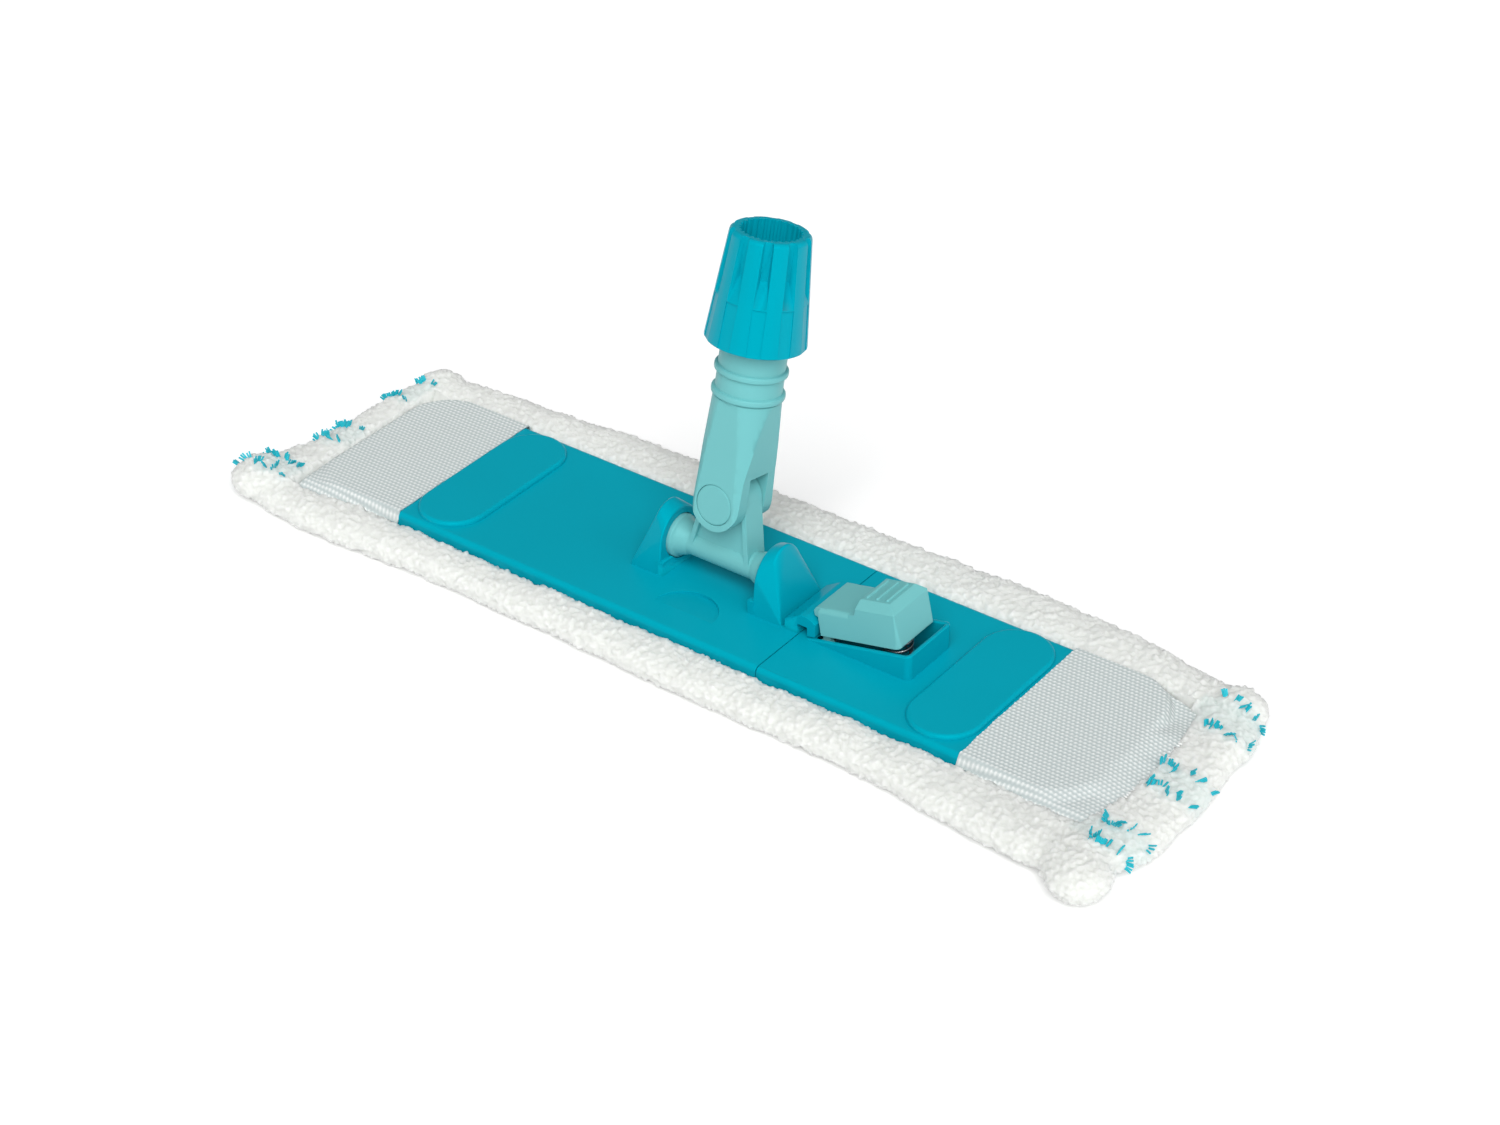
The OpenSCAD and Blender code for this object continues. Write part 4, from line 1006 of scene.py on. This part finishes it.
class MOP_OT_tufts(bpy.types.Operator):
    """Rows of stiff scrub tufts across the ends of the pad"""
    bl_idname = "mop.tufts"
    bl_label = "Scrub tufts"

    tufts: number("Tufts", "Tufts along one row", 6, 3, 12)
    strands: number("Strands", "Strands in one tuft", 5, 3, 10)

    def execute(self, context):
        pad = bpy.data.objects["pile_pad"]
        tree = BVHTree.FromPolygons([v.co for v in pad.data.vertices],
                                    [tuple(p.vertices) for p in pad.data.polygons])
        strand = self.strand(context)
        for side, rows, node, body in ((-1, ROWS_LEFT, "scrub_left", "plate"),
                                       (1, ROWS_RIGHT, "scrub_right", "fold")):
            self.plant(tree, strand, side, rows, node, body)
        bpy.data.objects.remove(strand)
        return {"FINISHED"}

    def strand(self, context):
        """One stiff strand, almost straight, standing on the origin."""
        wide, long = sizes().strand_width, sizes().strand_length
        bpy.ops.object.select_all(action="DESELECT")
        bpy.ops.mesh.primitive_cube_add(size=1, location=(0, 0, long / 2),
                                        scale=(wide, wide * 0.6, long))
        strand = context.object
        strand.name = "one_strand"
        bpy.ops.object.transform_apply(location=True, rotation=True, scale=True)
        bpy.ops.object.mode_set(mode="EDIT")
        bm = bmesh.from_edit_mesh(strand.data)
        for edge in bm.edges:
            edge.select_set(abs(edge.verts[0].co.z - edge.verts[1].co.z) > long / 2)
        bmesh.update_edit_mesh(strand.data)
        bpy.ops.mesh.subdivide(number_cuts=2)
        bpy.ops.object.mode_set(mode="OBJECT")
        co = points(strand)
        t = co[:, 2] / long
        co[:, 1] += 0.35 * MM * t * t
        move_points(strand, co)
        return strand

    def plant(self, tree, strand, side, rows, node, body):
        """The rows at one end, from the mesh's seam over the top of the roll to its outside."""
        rng = random.Random(11 + side)
        start = ROW_START[side]
        parts = []
        for y in rows:
            for t in range(self.tufts):
                along = start * (t + 0.5 + rng.uniform(-0.35, 0.35)) / self.tufts
                turn = math.radians(start - along)
                aim = Vector((side * math.cos(turn), 0, math.sin(turn)))
                middle = Vector((side * ROW_X, (y + rng.uniform(-1.5, 1.5)) * MM, ROW_Z))
                hit, normal, _, _ = tree.ray_cast(middle + aim * (60 * MM), -aim)
                if hit is None:
                    raise RuntimeError(f"a tuft of {node} finds no pile under it")
                # each tuft lies over a little, to no one side, and some have fanned out
                tilt = Vector((rng.uniform(-1, 1), rng.uniform(-1, 1), rng.uniform(-0.6, 0.4)))
                up = (normal + aim + tilt * 0.7).normalized()
                spin = Matrix.Rotation(rng.uniform(0, math.pi), 4, "Z")
                stand = up.to_track_quat("Z", "Y").to_matrix().to_4x4() @ spin
                count = self.strands + rng.randint(-2, 1)
                fan = rng.choice((0.15, 0.25, 0.8))
                for k in range(count):
                    share = (k + 0.5) / count - 0.5
                    lean = Matrix.Rotation(share * fan + rng.uniform(-0.05, 0.05), 4, "Y")
                    roll = Matrix.Rotation(rng.uniform(-0.4, 0.4), 4, "Z")
                    size = Matrix.Diagonal((1, 1, rng.uniform(0.75, 1.0), 1))
                    foot = Matrix.Translation((share * count * 0.62 * MM,
                                               rng.uniform(-0.35, 0.35) * MM, -1.6 * MM))
                    place = Matrix.Translation(hit) @ stand @ foot @ lean @ roll @ size
                    parts.append(stamp(strand, place))
        piece = join(parts, node.replace("scrub", "scrub_tufts"))
        bpy.ops.object.shade_smooth_by_angle(angle=math.radians(50))
        dress(piece, "strand")
        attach(piece, body)
        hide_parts(node)


OPERATORS = (MOP_OT_stage, MOP_OT_plates, MOP_OT_joint, MOP_OT_clamp, MOP_OT_pedal, MOP_OT_pad,
             MOP_OT_backing, MOP_OT_pockets, MOP_OT_tufts)


class MOP_PT_panel(bpy.types.Panel):
    """Lists the pieces, sizes and colours of the flat mop"""
    bl_idname = "MOP_PT_panel"
    bl_label = "Flat mop"
    bl_space_type = "VIEW_3D"
    bl_region_type = "UI"
    bl_category = "Flat mop"

    def draw(self, context):
        for operator in OPERATORS:
            self.layout.operator(operator.bl_idname)
        for group in (context.scene.mop_sizes, context.scene.mop_colours):
            box = self.layout.box()
            for name in group.__annotations__:
                box.prop(group, name)


CLASSES = (MopSizes, MopColours, *OPERATORS, MOP_PT_panel)


def register():
    for cls in CLASSES:
        bpy.utils.register_class(cls)
    bpy.types.Scene.mop_sizes = bpy.props.PointerProperty(type=MopSizes)
    bpy.types.Scene.mop_colours = bpy.props.PointerProperty(type=MopColours)


def unregister():
    del bpy.types.Scene.mop_colours
    del bpy.types.Scene.mop_sizes
    for cls in reversed(CLASSES):
        bpy.utils.unregister_class(cls)


def main():
    register()
    for operator in OPERATORS:
        group, name = operator.bl_idname.split(".")
        getattr(getattr(bpy.ops, group), name)()


if __name__ == "__main__":
    main()
